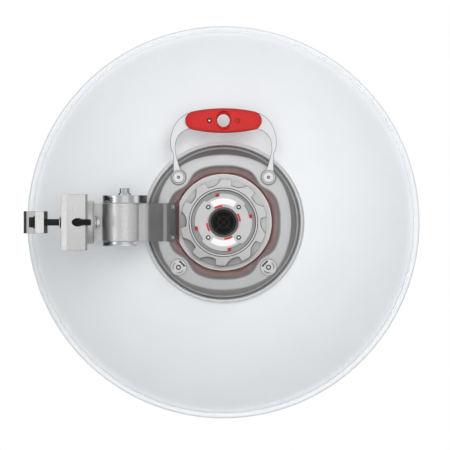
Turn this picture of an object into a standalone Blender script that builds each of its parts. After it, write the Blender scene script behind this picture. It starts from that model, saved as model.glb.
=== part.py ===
"""Parabolic dish antenna on a mast clamp, seen from behind when looking along +Y.

The mast stands in the notch of the clamp block, against its flat floor at X = 0, and runs
along Z. The dish looks along +Y. Lengths are in millimetres until mesh_object makes metres.
"""

import math

import bmesh
import bpy

METRES_PER_MM = 0.001
GAP = 0.3  # between neighbouring pieces

# Driving dimensions of the dish
DISH_X = 225.4  # from the mast's seat to the boresight axis
RIM_RADIUS = 290.0
RIM_BEAD_SIZE = 4.0
SHELL_EDGE_RADIUS = 281.0
FOCAL_LENGTH = 145.0
VERTEX_Y = 45.0
SHELL = 2.4
SEAT_RADIUS = 66.0  # of the flat in the middle of the shell
FRONT_RING_INNER = 84.0
FRONT_RING_OUTER = 106.0
TRIM_RADIUS = 119.5
BOLT_OFFSET = 66.6  # of each of the four bolts from the axis, sideways and upwards
BOLT_RADIUS = 3.0
BOLT_HOLE_RADIUS = 3.4

# The cast pan behind the reflector
PAN_RADIUS = 113.2
PLATEAU_Y = 32.0
PLATEAU_RADIUS = 98.0
PLATEAU_BULGE = 6.0  # how much farther the plateau reaches towards the bolts
BOSS_RADIUS = 9.0
PAN_WALL = 4.0
FLOOR_Y = 48.2
FLOOR_HOLE_RADIUS = 56.0
RECESS_SIDE = 84.5  # from the axis to each straight side of the recess
RECESS_HALF_SIDE = 24.7
RECESS_FILLET = 24.0
HOLLOW_RADIUS = 26.0  # of the recess's outline round each bolt
HOLLOW_CENTRE = 73.1
RECESS_SLOPE = 12.0  # how far the straight sides lean in on the way down
FLOOR_RADIUS = 72.2

# The port in the middle of the pan
PORT_FLANGE_RADIUS = 71.6
PORT_FLAT = 65.8
NECK_RADIUS = 50.4
WELL_RADIUS = 47.2
WELL_Y = 36.0
BORE_RADIUS = 19.0
COLLAR_RADIUS = 64.4
POCKETS = 10
POCKET_WALL = 7.7  # degrees, of the first pocket's radial wall
PLATE_RADIUS = 42.6
PLATE_NOTCH_RADIUS = 39.0
PLATE_Y = 32.5
PORT_SCREW_OFFSET = 22.5
PLUG_RADIUS = 18.4

# The carrying handle
GRIP_Z = 150.5
GRIP_HALF_LENGTH = 56.65
GRIP_HALF_HEIGHT = 18.4
GRIP_END_RADIUS = 14.0
GRIP_HOLE_RADIUS = 9.1
BAIL_NEAR = 27.6
BAIL_FAR = 31.6
EYE_RADIUS = 11.7
GRIP_SCREW_X = -21.0
GRIP_NEAR_Y = 17.0
GRIP_FAR_Y = 41.0

# The mast clamp
BLOCK_HALF_HEIGHT = 41.8
JAW_HALF_HEIGHT = 16.5
ROD_Y = 44.0
ROD_RADIUS = 4.9
ROD_HOLE_RADIUS = 6.2
ROD_END_X = 29.4
JAW_SEAT_X = -53.5
BLOCK_FACE_X = 24.0

# The elbow, the azimuth hub and the arm
ELBOW_DISC_RADIUS = 32.0
ELBOW_DISC_END_X = 34.4
ELBOW_HALF_HEIGHT = 28.0
WEB_NEAR_Y = 12.0
WEB_FAR_Y = 24.0
HUB_X = 79.0
HUB_Y = 10.0
SHELL_OUTER_RADIUS = 33.0
SHELL_INNER_RADIUS = 27.5
HUB_RADIUS = 27.0
SHELL_OPENING_NEAR = -60.0  # degrees round the hub, from +X towards +Y
SHELL_OPENING_FAR = 50.0
CAP_CUT_X = 96.5
CAP_TOP_Z = 40.0
CAP_BOTTOM_Z = -35.5
SHAFT_RADIUS = 5.0
SHAFT_HOLE_RADIUS = 5.4
ARM_FLANGE_START = (141.2, 26.0)  # the near face of the arm's flange, on its way into the recess
ARM_FLANGE_END = (155.0, 42.1)
ARM_SCREW_X = 149.4
ARM_SCREW_Z = 22.6

COLOURS = {
    "white_paint": ((0.86, 0.88, 0.90), 0.45, 0.0),
    "cast_aluminium": ((0.62, 0.62, 0.62), 0.50, 0.8),
    "pressed_aluminium": ((0.66, 0.67, 0.68), 0.38, 0.9),
    "zinc_plate": ((0.60, 0.63, 0.68), 0.25, 1.0),
    "black_steel": ((0.02, 0.02, 0.02), 0.50, 0.6),
    "steel": ((0.75, 0.75, 0.74), 0.30, 1.0),
    "red_plastic": ((0.70, 0.03, 0.03), 0.50, 0.0),
    "red_rubber": ((0.45, 0.03, 0.03), 0.70, 0.0),
    "white_plastic": ((0.82, 0.83, 0.84), 0.45, 0.0),
    "grey_plastic": ((0.50, 0.51, 0.50), 0.50, 0.0),
    "black_plastic": ((0.02, 0.02, 0.02), 0.45, 0.0),
}

# Each moving body turns or slides about an empty; the names are (parent body, place)
BODIES = {
    "clamp": (None, (0.0, 0.0, 0.0)),
    "jaw": ("clamp", (JAW_SEAT_X, 0.0, 0.0)),
    "elbow": ("clamp", (BLOCK_FACE_X, 0.0, 0.0)),
    "dish": ("elbow", (HUB_X, HUB_Y, 0.0)),
    "collar": ("dish", (DISH_X, PLATE_Y, 0.0)),
}


def clear_scene():
    for obj in list(bpy.data.objects):
        bpy.data.objects.remove(obj, do_unlink=True)


def make_materials():
    made = {}
    for name, (colour, roughness, metallic) in COLOURS.items():
        material = bpy.data.materials.new(name)
        material.use_nodes = True
        shader = material.node_tree.nodes["Principled BSDF"]
        shader.inputs["Base Color"].default_value = (*colour, 1.0)
        shader.inputs["Roughness"].default_value = roughness
        shader.inputs["Metallic"].default_value = metallic
        material.diffuse_color = (*colour, 1.0)
        made[name] = material
    return made


def make_bodies():
    made = {}
    for name, (parent, place) in BODIES.items():
        empty = bpy.data.objects.new(f"{name}_pivot", None)
        bpy.context.scene.collection.objects.link(empty)
        base = BODIES[parent][1] if parent else (0.0, 0.0, 0.0)
        empty.location = [(p - b) * METRES_PER_MM for p, b in zip(place, base)]
        empty.parent = made.get(parent)
        made[name] = empty
    return made


def mesh_object(name, points, faces, material, body, sharp_angle=30.0):
    """An object from world points in millimetres, with its origin on its body's pivot."""
    pivot = BODIES[body][1]
    local = [[(p - o) * METRES_PER_MM for p, o in zip(point, pivot)] for point in points]
    mesh = bpy.data.meshes.new(name)
    mesh.from_pydata(local, [], faces)
    work = bmesh.new()
    work.from_mesh(mesh)
    bmesh.ops.recalc_face_normals(work, faces=work.faces)
    work.to_mesh(mesh)
    work.free()
    mesh.shade_smooth()
    mesh.set_sharp_from_angle(angle=math.radians(sharp_angle))
    obj = bpy.data.objects.new(name, mesh)
    bpy.context.scene.collection.objects.link(obj)
    obj.parent = PIVOTS[body]
    if material:
        mesh.materials.append(MATERIALS[material])
    return obj


def on_axis(axis, across, up, along):
    """A world point from two coordinates across an axis and one along it."""
    if axis == "X":
        return (along, across, up)
    if axis == "Y":
        return (across, along, up)
    return (across, up, along)


def turns(count):
    return [2 * math.pi * step / count for step in range(count)]


def ring(radius, level, angles, centre=(0.0, 0.0), axis="Y"):
    """One closed row of points round an axis; the radius may be a function of the angle."""
    row = []
    for angle in angles:
        r = radius(angle) if callable(radius) else radius
        across = centre[0] + r * math.cos(angle)
        up = centre[1] + r * math.sin(angle)
        row.append(on_axis(axis, across, up, level))
    return row


def loft(name, rings, material, body, closed=False):
    """A solid skinned over rows of points: end rows capped, or joined up when closed."""
    count = len(rings[0])
    points = [point for row in rings for point in row]
    pairs = [(row, row + 1) for row in range(len(rings) - 1)]
    if closed:
        pairs.append((len(rings) - 1, 0))
    faces = []
    for low, high in pairs:
        for step in range(count):
            after = (step + 1) % count
            faces.append(
                (low * count + step, low * count + after, high * count + after, high * count + step)
            )
    if not closed:
        faces.append(tuple(range(count)))
        faces.append(tuple((len(rings) - 1) * count + step for step in range(count)))
    return mesh_object(name, points, faces, material, body)


def prism(name, outline, axis, low, high, material, body):
    rows = [[on_axis(axis, a, b, level) for a, b in outline] for level in (low, high)]
    return loft(name, rows, material, body)


def turned(name, profile, material, body, centre, axis="Y", count=32, closed=False):
    """A solid of revolution from (radius, level) points along its axis."""
    rows = [ring(radius, level, turns(count), centre, axis) for radius, level in profile]
    return loft(name, rows, material, body, closed)


def combine(obj, other, operation):
    """Leaves an exact Boolean on the object and hides its other solid."""
    modifier = obj.modifiers.new(f"{operation.lower()}_{other.name}", "BOOLEAN")
    modifier.operation = operation
    modifier.object = other
    modifier.solver = "EXACT"
    other.hide_render = True
    other.display_type = "WIRE"


def cylinders(name, centres, radius, low, high, axis, body, count=16):
    """A cutter of several separate round bars along one axis."""
    points = []
    faces = []
    for centre in centres:
        start = len(points)
        for level in (low, high):
            points += ring(radius, level, turns(count), centre, axis)
        for step in range(count):
            after = (step + 1) % count
            faces.append((start + step, start + after, start + count + after, start + count + step))
        faces.append(tuple(range(start, start + count)))
        faces.append(tuple(range(start + count, start + 2 * count)))
    return mesh_object(name, points, faces, None, body)


def arc(centre, radius, start, end, steps):
    """Points on a circle from one angle to another, both included, in degrees."""
    row = []
    for step in range(steps + 1):
        angle = math.radians(start + (end - start) * step / steps)
        row.append((centre[0] + radius * math.cos(angle), centre[1] + radius * math.sin(angle)))
    return row


def smooth_line(points, steps=3):
    """A Catmull-Rom curve through the given points."""
    ends = [points[0]] + list(points) + [points[-1]]
    row = []
    for a, b, c, d in zip(ends, ends[1:], ends[2:], ends[3:]):
        for step in range(steps):
            t = step / steps
            row.append(
                tuple(
                    0.5
                    * (
                        2 * q
                        + (r - p) * t
                        + (2 * p - 5 * q + 4 * r - s) * t**2
                        + (3 * q - p - 3 * r + s) * t**3
                    )
                    for p, q, r, s in zip(a, b, c, d)
                )
            )
    row.append(tuple(points[-1]))
    return row


def hexagon(across_flats, turn=0.0):
    """The radius of a hexagon at each angle, whose first corner is turned by an angle."""
    sixth = math.pi / 3
    return lambda angle: across_flats / 2 / math.cos((angle - turn) % sixth - sixth / 2)


def dish_back(radius):
    """The level of the reflector's back at a distance from its axis."""
    return VERTEX_Y + radius**2 / (4 * FOCAL_LENGTH)


DISH_CENTRE = (DISH_X, 0.0)
BOLT_CENTRES = {
    "upper_left": (DISH_X - BOLT_OFFSET, BOLT_OFFSET),
    "upper_right": (DISH_X + BOLT_OFFSET, BOLT_OFFSET),
    "lower_left": (DISH_X - BOLT_OFFSET, -BOLT_OFFSET),
    "lower_right": (DISH_X + BOLT_OFFSET, -BOLT_OFFSET),
}


def recess_outline(inset):
    """The recess's outline round the dish axis, drawn in by an inset, as (across, up) points.

    An eighth is half a straight side, a round corner and a hollow round the bolt. The corner
    and the hollow touch, so an inset changes only their radii.
    """
    side = RECESS_SIDE - inset
    corner = (RECESS_SIDE - RECESS_FILLET, RECESS_HALF_SIDE)
    hollow = (HOLLOW_CENTRE, HOLLOW_CENTRE)
    touch = math.degrees(math.atan2(hollow[1] - corner[1], hollow[0] - corner[0]))
    eighth = [(side, 0.0), (side, RECESS_HALF_SIDE / 2)]
    eighth += arc(corner, RECESS_FILLET - inset, 0.0, touch, 4)
    eighth += arc(hollow, HOLLOW_RADIUS + inset, touch - 180.0, -135.0, 3)[1:]
    mirrored = [(up, across) for across, up in reversed(eighth[:-1])]
    quarter = eighth + mirrored[:-1]
    outline = []
    for _ in range(4):
        outline += quarter
        quarter = [(-up, across) for across, up in quarter]
    return outline


RECESS_ANGLES = [math.atan2(up, across) for across, up in recess_outline(0.0)]


def recess_row(inset, level, least_radius=0.0):
    """The recess's outline as a row at a level, kept outside a circle."""
    row = []
    for across, up in recess_outline(inset):
        stretch = max(1.0, least_radius / math.hypot(across, up))
        row.append((DISH_X + across * stretch, level, up * stretch))
    return row


def pan_circle(radius, level, bulge=0.0):
    """A row round the axis whose radius grows by a bulge towards the four bolts."""

    def grown(angle):
        return radius + bulge * abs(math.sin(2 * angle)) ** 1.3

    return ring(grown, level, RECESS_ANGLES, DISH_CENTRE)


def make_clamp_block():
    outline = [(0.0, -10.0), (-15.0, -32.0), (-15.0, -55.3), (-6.5, -55.3), (20.9, -36.1)]
    outline += [(BLOCK_FACE_X, -33.0)]
    outline += [(x, -y) for x, y in reversed(outline)]
    block = prism(
        "clamp_block", outline, "Z", -BLOCK_HALF_HEIGHT, BLOCK_HALF_HEIGHT, "cast_aluminium", "clamp"
    )
    rods = [(-ROD_Y, 0.0), (ROD_Y, 0.0)]
    combine(block, cylinders("rod_holes", rods, ROD_HOLE_RADIUS, -30, 40, "X", "clamp"), "DIFFERENCE")
    pivot_hole = cylinders("pivot_hole", [(0.0, 0.0)], SHAFT_HOLE_RADIUS, 4.5, 40, "X", "clamp")
    combine(block, pivot_hole, "DIFFERENCE")


def make_elevation_bolt():
    washer_x = ELBOW_DISC_END_X + GAP
    head_x = washer_x + 1.5
    washer = [(SHAFT_HOLE_RADIUS, washer_x), (10.35, washer_x)]
    washer += [(10.35, head_x), (SHAFT_HOLE_RADIUS, head_x)]
    turned("elevation_washer", washer, "zinc_plate", "clamp", (0.0, 0.0), "X", 18, closed=True)
    head = hexagon(13.8, math.pi / 6)
    rows = [(SHAFT_RADIUS, 5.5), (SHAFT_RADIUS, head_x + GAP), (9.4, head_x + GAP), (8.0, 38.2)]
    rows += [(head, 38.2), (head, 42.0), (6.0, 42.8)]
    turned("elevation_bolt", rows, "zinc_plate", "clamp", (0.0, 0.0), "X", 24)


def make_outer_jaw():
    outline = [(-48.0, 12.0), (-34.7, 32.0), (-34.7, 50.0), (-40.5, 55.0), (JAW_SEAT_X, 55.0)]
    outline += [(JAW_SEAT_X, 34.0), (-66.0, 22.0), (-70.2, 16.0)]
    outline += [(x, -y) for x, y in reversed(outline)]
    jaw = prism("outer_jaw", outline, "Z", -JAW_HALF_HEIGHT, JAW_HALF_HEIGHT, "cast_aluminium", "jaw")
    rods = [(-ROD_Y, 0.0), (ROD_Y, 0.0)]
    holes = cylinders("jaw_holes", rods, SHAFT_HOLE_RADIUS, -80, -20, "X", "jaw")
    combine(jaw, holes, "DIFFERENCE")


def make_jaw_bolt(side, y):
    head = hexagon(15.7)
    seat = JAW_SEAT_X - GAP
    rows = [(7.0, -62.5), (head, -61.8), (head, -56.6), (9.7, -56.6), (9.7, seat)]
    rows += [(ROD_RADIUS, seat), (ROD_RADIUS, ROD_END_X - 1.0), (ROD_RADIUS - 1.0, ROD_END_X)]
    turned(f"jaw_bolt_{side}", rows, "black_steel", "jaw", (y, 0.0), "X", 18)
    washer = [(ROD_RADIUS + GAP, -16.6), (8.5, -16.6), (8.5, -15.3), (ROD_RADIUS + GAP, -15.3)]
    turned(f"jaw_washer_{side}", washer, "black_steel", "jaw", (y, 0.0), "X", 18, closed=True)


def make_elbow():
    hub = (HUB_X, HUB_Y)
    reach = SHELL_OUTER_RADIUS
    web_near = 180.0 - math.degrees(math.asin((WEB_NEAR_Y - HUB_Y) / reach))
    web_far = 180.0 - math.degrees(math.asin((WEB_FAR_Y - HUB_Y) / reach))
    web_start = ELBOW_DISC_END_X - 4.0
    outline = arc(hub, reach, 360.0 + SHELL_OPENING_NEAR, web_near, 12)
    outline += [(web_start, WEB_NEAR_Y), (web_start, WEB_FAR_Y)]
    outline += arc(hub, reach, web_far, SHELL_OPENING_FAR, 12)
    outline += arc(hub, SHELL_INNER_RADIUS, SHELL_OPENING_FAR, 360.0 + SHELL_OPENING_NEAR, 28)
    half = ELBOW_HALF_HEIGHT
    elbow = prism("elbow", outline, "Z", -half, half, "cast_aluminium", "elbow")
    rim = [(ELBOW_DISC_RADIUS, BLOCK_FACE_X + GAP), (ELBOW_DISC_RADIUS, ELBOW_DISC_END_X)]
    disc = turned("elbow_disc", rim, None, "elbow", (0.0, 0.0), "X", 40)
    combine(elbow, disc, "UNION")
    hole = cylinders("elbow_hole", [(0.0, 0.0)], SHAFT_HOLE_RADIUS, 10, 60, "X", "elbow")
    combine(elbow, hole, "DIFFERENCE")


def make_azimuth_caps():
    hub = (HUB_X, HUB_Y)
    radius = SHELL_OUTER_RADIUS
    low = ELBOW_HALF_HEIGHT + GAP
    top = [(SHAFT_HOLE_RADIUS, low), (radius, low), (radius, CAP_TOP_Z)]
    top += [(SHAFT_HOLE_RADIUS, CAP_TOP_Z)]
    turned("azimuth_top_cap", top, "zinc_plate", "elbow", hub, "Z", 30, closed=True)

    def cut_edge(angle):
        return min(radius, (CAP_CUT_X - HUB_X) / max(math.cos(angle), 0.01))

    bottom = [(SHAFT_HOLE_RADIUS, -low), (cut_edge, -low), (cut_edge, CAP_BOTTOM_Z)]
    bottom += [(SHAFT_HOLE_RADIUS, CAP_BOTTOM_Z)]
    turned("azimuth_bottom_cap", bottom, "zinc_plate", "elbow", hub, "Z", 30, closed=True)
    head = hexagon(13.6)
    seat = CAP_TOP_Z + GAP
    bolt = [(SHAFT_RADIUS, CAP_BOTTOM_Z), (SHAFT_RADIUS, seat), (9.6, seat), (9.6, 43.6)]
    bolt += [(head, 43.6), (head, 50.0), (6.0, 50.7)]
    turned("azimuth_bolt", bolt, "zinc_plate", "elbow", hub, "Z", 18)


def make_arm():
    """The hub, a neck towards the dish, a slope down to the pan and a flange in its recess."""
    neck_y = HUB_Y - 16.6
    neck_angle = -math.degrees(math.asin((HUB_Y - neck_y) / HUB_RADIUS))
    outline = arc((HUB_X, HUB_Y), HUB_RADIUS, 0.0, 360.0 + neck_angle, 30)
    outline += [(112.5, neck_y), (136.4, ARM_FLANGE_START[1]), ARM_FLANGE_START, ARM_FLANGE_END]
    outline += [(152.3, 44.8)]
    outline += [(140.8, PLATEAU_Y - GAP), (130.9, PLATEAU_Y - GAP), (112.0, 8.0)]
    half = ELBOW_HALF_HEIGHT
    arm = prism("arm", outline, "Z", -half, half, "cast_aluminium", "dish")
    bore = cylinders("arm_bore", [(HUB_X, HUB_Y)], SHAFT_HOLE_RADIUS, -60, 60, "Z", "dish")
    combine(arm, bore, "DIFFERENCE")
    return arm


def tilted(points):
    """Points of a screw along Y, turned square to the arm's flange at its place."""
    start_x, start_y = ARM_FLANGE_START
    end_x, end_y = ARM_FLANGE_END
    angle = math.atan2(end_y - start_y, end_x - start_x)
    face_y = start_y + (ARM_SCREW_X - start_x) * math.tan(angle)
    row = []
    for x, y, z in points:
        across = x * math.cos(angle) - y * math.sin(angle)
        along = x * math.sin(angle) + y * math.cos(angle)
        row.append((ARM_SCREW_X + across, face_y + along, z))
    return row


def make_arm_screws(arm, pan):
    for name, z in (("upper", ARM_SCREW_Z), ("lower", -ARM_SCREW_Z)):
        profile = [(2.6, -3.0), (4.3, -1.9), (4.3, -GAP), (2.0, -GAP), (2.0, 7.0)]
        rows = [tilted(ring(r, level, turns(16), (0.0, z))) for r, level in profile]
        loft(f"arm_screw_{name}", rows, "steel", "dish")
        hole = [tilted(ring(2.4, level, turns(12), (0.0, z))) for level in (-6.0, 14.0)]
        cutter = loft(f"arm_screw_hole_{name}", hole, None, "dish")
        combine(arm, cutter, "DIFFERENCE")
        combine(pan, cutter, "DIFFERENCE")


def make_reflector(bolt_holes):
    """A parabolic shell with a flat middle and a rolled bead round its edge."""
    hole = FLOOR_HOLE_RADIUS + 2.0
    radii = [SEAT_RADIUS, FRONT_RING_INNER, FRONT_RING_OUTER, TRIM_RADIUS]
    radii += [150.0, 185.0, 220.0, 250.0, 276.0]
    seat = dish_back(SEAT_RADIUS)
    edge = dish_back(SHELL_EDGE_RADIUS)
    bead_radius = RIM_RADIUS - RIM_BEAD_SIZE
    bead = (bead_radius, dish_back(bead_radius) - 3.0)
    profile = [(hole, seat)] + [(r, dish_back(r)) for r in radii]
    profile += [(SHELL_EDGE_RADIUS, edge)]
    profile += arc(bead, RIM_BEAD_SIZE, 180.0, 450.0, 6)
    profile += [(SHELL_EDGE_RADIUS, edge + SHELL)]
    profile += [(r, dish_back(r) + SHELL) for r in reversed(radii)] + [(hole, seat + SHELL)]
    dish = turned("reflector", profile, "white_paint", "dish", DISH_CENTRE, "Y", 48, closed=True)
    combine(dish, bolt_holes, "DIFFERENCE")


def make_pan(bolt_holes):
    """The cast pan: recess floor, sloping recess wall, plateau, steep outer wall and flange."""
    back = FLOOR_Y
    front = FLOOR_Y + PAN_WALL
    under = PLATEAU_Y + PAN_WALL
    rows = [
        pan_circle(FLOOR_HOLE_RADIUS, back),
        recess_row(RECESS_SLOPE + 0.5, back, FLOOR_RADIUS),
        recess_row(RECESS_SLOPE, back - 1.2, FLOOR_RADIUS + 0.3),
        recess_row(1.0, PLATEAU_Y + 2.4),
        recess_row(-1.0, PLATEAU_Y),
        pan_circle(PLATEAU_RADIUS, PLATEAU_Y, PLATEAU_BULGE),
        pan_circle(PLATEAU_RADIUS + 2.8, PLATEAU_Y + 2.5, 0.9 * PLATEAU_BULGE),
        pan_circle(107.4, 57.0),
        pan_circle(111.6, 60.0),
        pan_circle(PAN_RADIUS, 62.5),
        pan_circle(PAN_RADIUS, dish_back(PAN_RADIUS) - 0.6),
        pan_circle(108.5, dish_back(108.5) - 0.6),
        pan_circle(103.0, 60.0),
        pan_circle(PLATEAU_RADIUS - 1.0, under, PLATEAU_BULGE),
        recess_row(-5.0, under),
        recess_row(-PAN_WALL, under + 1.5),
        recess_row(RECESS_SLOPE - 3.5, front - 1.7, FLOOR_RADIUS + 3.8),
        recess_row(RECESS_SLOPE - 1.5, front, FLOOR_RADIUS + 2.0),
        pan_circle(FLOOR_HOLE_RADIUS, front),
    ]
    pan = loft("back_pan", rows, "pressed_aluminium", "dish", closed=True)
    centres = BOLT_CENTRES.values()
    low = PLATEAU_Y + 1.0
    boss = cylinders("bolt_bosses", centres, BOSS_RADIUS, low, 57.0, "Y", "dish", 20)
    combine(pan, boss, "UNION")
    combine(pan, bolt_holes, "DIFFERENCE")
    return pan


def make_trim_ring():
    inner = PAN_RADIUS + 0.7
    outer = TRIM_RADIUS
    crown = [(115.2, 61.6), (118.0, 61.6)]
    profile = [(inner, dish_back(inner) - 0.5), (inner, 63.5)] + crown
    profile += [(outer, 63.5), (outer, dish_back(outer) - 0.6)]
    turned("trim_ring", profile, "white_plastic", "dish", DISH_CENTRE, "Y", 48, closed=True)


def make_front_ring(bolt_holes):
    """The ring inside the bowl that the four bolts pull against."""
    radii = (SEAT_RADIUS, FRONT_RING_INNER, FRONT_RING_OUTER)
    behind = [(r, dish_back(r) + SHELL + GAP) for r in radii]
    bore = SEAT_RADIUS - 6.0
    seat = behind[0][1]
    flat = dish_back(FRONT_RING_OUTER) + SHELL + 2.5
    profile = [(bore, seat)] + behind + [(FRONT_RING_OUTER, flat), (FRONT_RING_INNER, flat)]
    profile += [(FRONT_RING_INNER - 4.0, flat - 5.0), (bore, seat + 4.0)]
    front = turned("front_ring", profile, "cast_aluminium", "dish", DISH_CENTRE, "Y", 48, closed=True)
    combine(front, bolt_holes, "DIFFERENCE")
    return flat


def make_through_bolts(nut_seat):
    nut = hexagon(13.0)
    end = nut_seat + 8.0
    for place, centre in BOLT_CENTRES.items():
        level, side = place.split("_")
        shank = [(BOLT_RADIUS, end), (BOLT_RADIUS, BAIL_NEAR - GAP)]
        if level == "upper":
            name = f"handle_bolt_{side}"
            head = [(7.7, BAIL_NEAR - GAP), (7.7, 24.6), (6.6, 23.6)]
            material = "steel"
        else:
            name = f"knob_{side}"
            shank[1] = (BOLT_RADIUS, PLATEAU_Y - GAP)
            head = [(12.2, PLATEAU_Y - GAP), (12.2, 28.0), (10.8, 26.0), (7.5, 25.0)]
            material = "zinc_plate"
        turned(name, shank + head, material, "dish", centre, "Y", 18)
        low = nut_seat + GAP
        high = low + 5.0
        hole = BOLT_RADIUS + GAP
        rows = [(hole, low), (nut, low), (nut, high), (hole, high)]
        turned(f"front_nut_{place}", rows, "steel", "dish", centre, "Y", 18, closed=True)


def make_gasket():
    inner = pan_circle(57.0, FLOOR_Y - GAP)
    outer = recess_row(RECESS_SLOPE + 1.5, FLOOR_Y - GAP, FLOOR_RADIUS - 0.6)
    rows = [inner, outer]
    rows += [[(x, FLOOR_Y - GAP - 1.5, z) for x, _, z in row] for row in (outer, inner)]
    loft("gasket", rows, "red_rubber", "dish", closed=True)


def make_port_base():
    def flange(angle):
        return min(PORT_FLANGE_RADIUS, PORT_FLAT / max(-math.cos(angle), 0.01))

    flange_y = 40.0
    under = FLOOR_Y - 2 * GAP - 1.5
    tail = FLOOR_HOLE_RADIUS - 1.0
    profile = [(BORE_RADIUS, WELL_Y), (WELL_RADIUS, WELL_Y), (WELL_RADIUS, PLATE_Y - 1.0)]
    profile += [(NECK_RADIUS, PLATE_Y - 1.0), (NECK_RADIUS, flange_y), (flange, flange_y)]
    profile += [(flange, under), (tail, under), (tail, 57.0), (45.0, 61.0), (BORE_RADIUS, 61.0)]
    turned("port_base", profile, "white_plastic", "dish", DISH_CENTRE, "Y", 48, closed=True)
    return flange_y


def make_lock_collar(flange_y):
    """A ring whose edge has saw-tooth pockets: one wall radial, the other running out."""
    step = 360.0 / POCKETS
    spots = [(0.0, COLLAR_RADIUS), (6.0, COLLAR_RADIUS), (11.3, COLLAR_RADIUS)]
    spots += [(15.5, 60.1), (19.0, 57.6), (24.0, 55.9), (29.0, 55.8), (35.5, 57.0)]
    angles = []
    radii = []
    for pocket in range(POCKETS):
        start = POCKET_WALL + pocket * step
        for turn, radius in spots:
            angles.append(math.radians(start + turn))
            radii.append(radius)

    def row(radius_list, level):
        points = []
        for angle, r in zip(angles, radius_list):
            across = DISH_X + r * math.cos(angle)
            points.append((across, level, r * math.sin(angle)))
        return points

    inner = [NECK_RADIUS + GAP] * len(angles)
    outer = [COLLAR_RADIUS] * len(angles)
    low = flange_y - GAP
    ledge = low - 2.2
    top = PLATE_Y - 1.0
    rows = [row(inner, low), row(outer, low), row(outer, ledge), row(radii, ledge)]
    rows += [row(radii, top), row(inner, top)]
    loft("lock_collar", rows, "grey_plastic", "collar", closed=True)


def make_port_plate():
    def notched(angle):
        part = math.degrees(angle) % 90.0
        return PLATE_NOTCH_RADIUS if 14.0 <= part <= 45.0 else PLATE_RADIUS

    bore = PLUG_RADIUS + GAP
    back = WELL_Y - GAP
    profile = [(bore, back), (notched, back), (notched, PLATE_Y), (21.0, PLATE_Y)]
    profile += [(bore, PLATE_Y + 1.5)]
    plate = turned("port_plate", profile, "white_plastic", "dish", DISH_CENTRE, "Y", 48, closed=True)
    offset = PORT_SCREW_OFFSET
    spots = [(DISH_X + a, b) for a in (-offset, offset) for b in (-offset, offset)]
    combine(plate, cylinders("port_screw_holes", spots, 1.9, 20, 50, "Y", "dish", 12), "DIFFERENCE")
    for number, spot in enumerate(spots, 1):
        seat = PLATE_Y - GAP
        profile = [(1.5, back), (1.5, seat), (3.3, seat), (3.3, seat - 1.2), (2.6, seat - 1.6)]
        turned(f"port_screw_{number}", profile, "steel", "dish", spot, "Y", 16)


def make_plug_and_feed():
    plug = [(PLUG_RADIUS, WELL_Y), (PLUG_RADIUS, 31.0), (17.2, 30.0), (10.0, 30.0), (9.0, 31.0)]
    turned("port_plug", plug, "black_plastic", "dish", DISH_CENTRE, "Y", 32)
    outer = BORE_RADIUS - GAP
    tube = [(outer, 37.0), (outer, 150.0), (15.5, 150.0), (15.5, 37.0)]
    turned("feed_tube", tube, "cast_aluminium", "dish", DISH_CENTRE, "Y", 32, closed=True)
    cone = [(15.2, 130.0), (15.2, 150.0 + GAP), (20.0, 150.0 + GAP), (33.0, 178.0), (34.0, 180.0)]
    turned("feed_cone", cone, "white_plastic", "dish", DISH_CENTRE, "Y", 32)
    disc = [(36.0, 180.0 + GAP), (36.0, 185.0), (30.0, 188.5), (12.0, 189.8)]
    turned("sub_reflector", disc, "cast_aluminium", "dish", DISH_CENTRE, "Y", 32)


def make_bail():
    """The handle's flat bail: two arms with eyes, and a bar across between the grip's halves."""
    eye = (BOLT_OFFSET, BOLT_OFFSET)
    outer = [(40.0, 162.5), (53.4, 160.7), (68.8, 147.9), (76.7, 130.7), (78.6, 118.0)]
    outer += [(76.6, 105.0), (75.0, 90.0), (76.4, 76.0)]
    inner = [(63.2, 79.5), (67.0, 92.0), (70.6, 107.0), (68.8, 123.4), (61.4, 133.1), (51.6, 137.6)]
    inner += [(40.0, 138.2)]
    right = [(0.0, 164.5)] + smooth_line(outer) + arc(eye, EYE_RADIUS, 30.0, -215.0, 16)[1:]
    right += smooth_line(inner) + [(0.0, 136.5)]
    left = [(-x, z) for x, z in reversed(right[1:-1])]
    outline = [(DISH_X + x, z) for x, z in right + left]
    bail = prism("handle_bail", outline, "Y", BAIL_NEAR, BAIL_FAR, "white_plastic", "dish")
    eyes = [(DISH_X + side * BOLT_OFFSET, BOLT_OFFSET) for side in (-1, 1)]
    cutters = [("bail_eyes", eyes, BOLT_HOLE_RADIUS)]
    cutters += [("bail_hole", [(DISH_X, GRIP_Z)], GRIP_HOLE_RADIUS + 1.0)]
    cutters += [("bail_screw_hole", [(DISH_X + GRIP_SCREW_X, GRIP_Z)], 2.3)]
    for name, centres, radius in cutters:
        combine(bail, cylinders(name, centres, radius, 10, 50, "Y", "dish"), "DIFFERENCE")


def grip_outline():
    """The grip's outline about its centre: two shallow arcs that run into two round ends."""
    flat = GRIP_HALF_LENGTH - GRIP_END_RADIUS
    bow = flat**2 + GRIP_HALF_HEIGHT**2 - GRIP_END_RADIUS**2
    bow /= 2 * (GRIP_HALF_HEIGHT - GRIP_END_RADIUS)
    half = math.degrees(math.atan(flat / (bow - GRIP_HALF_HEIGHT)))
    top = arc((0.0, GRIP_HALF_HEIGHT - bow), bow, 90.0 - half, 90.0 + half, 10)
    end = arc((-flat, 0.0), GRIP_END_RADIUS, 90.0 + half, 270.0 - half, 8)
    upper = top + end[1:]
    return upper + [(-x, -z) for x, z in upper[1:-1]]


def grip_row(scale, level):
    return [(DISH_X + x * scale, level, GRIP_Z + z * scale) for x, z in grip_outline()]


def grip_hole_row(level):
    angles = [math.atan2(z, x) for x, z in grip_outline()]
    return ring(GRIP_HOLE_RADIUS, level, angles, (DISH_X, GRIP_Z))


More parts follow.
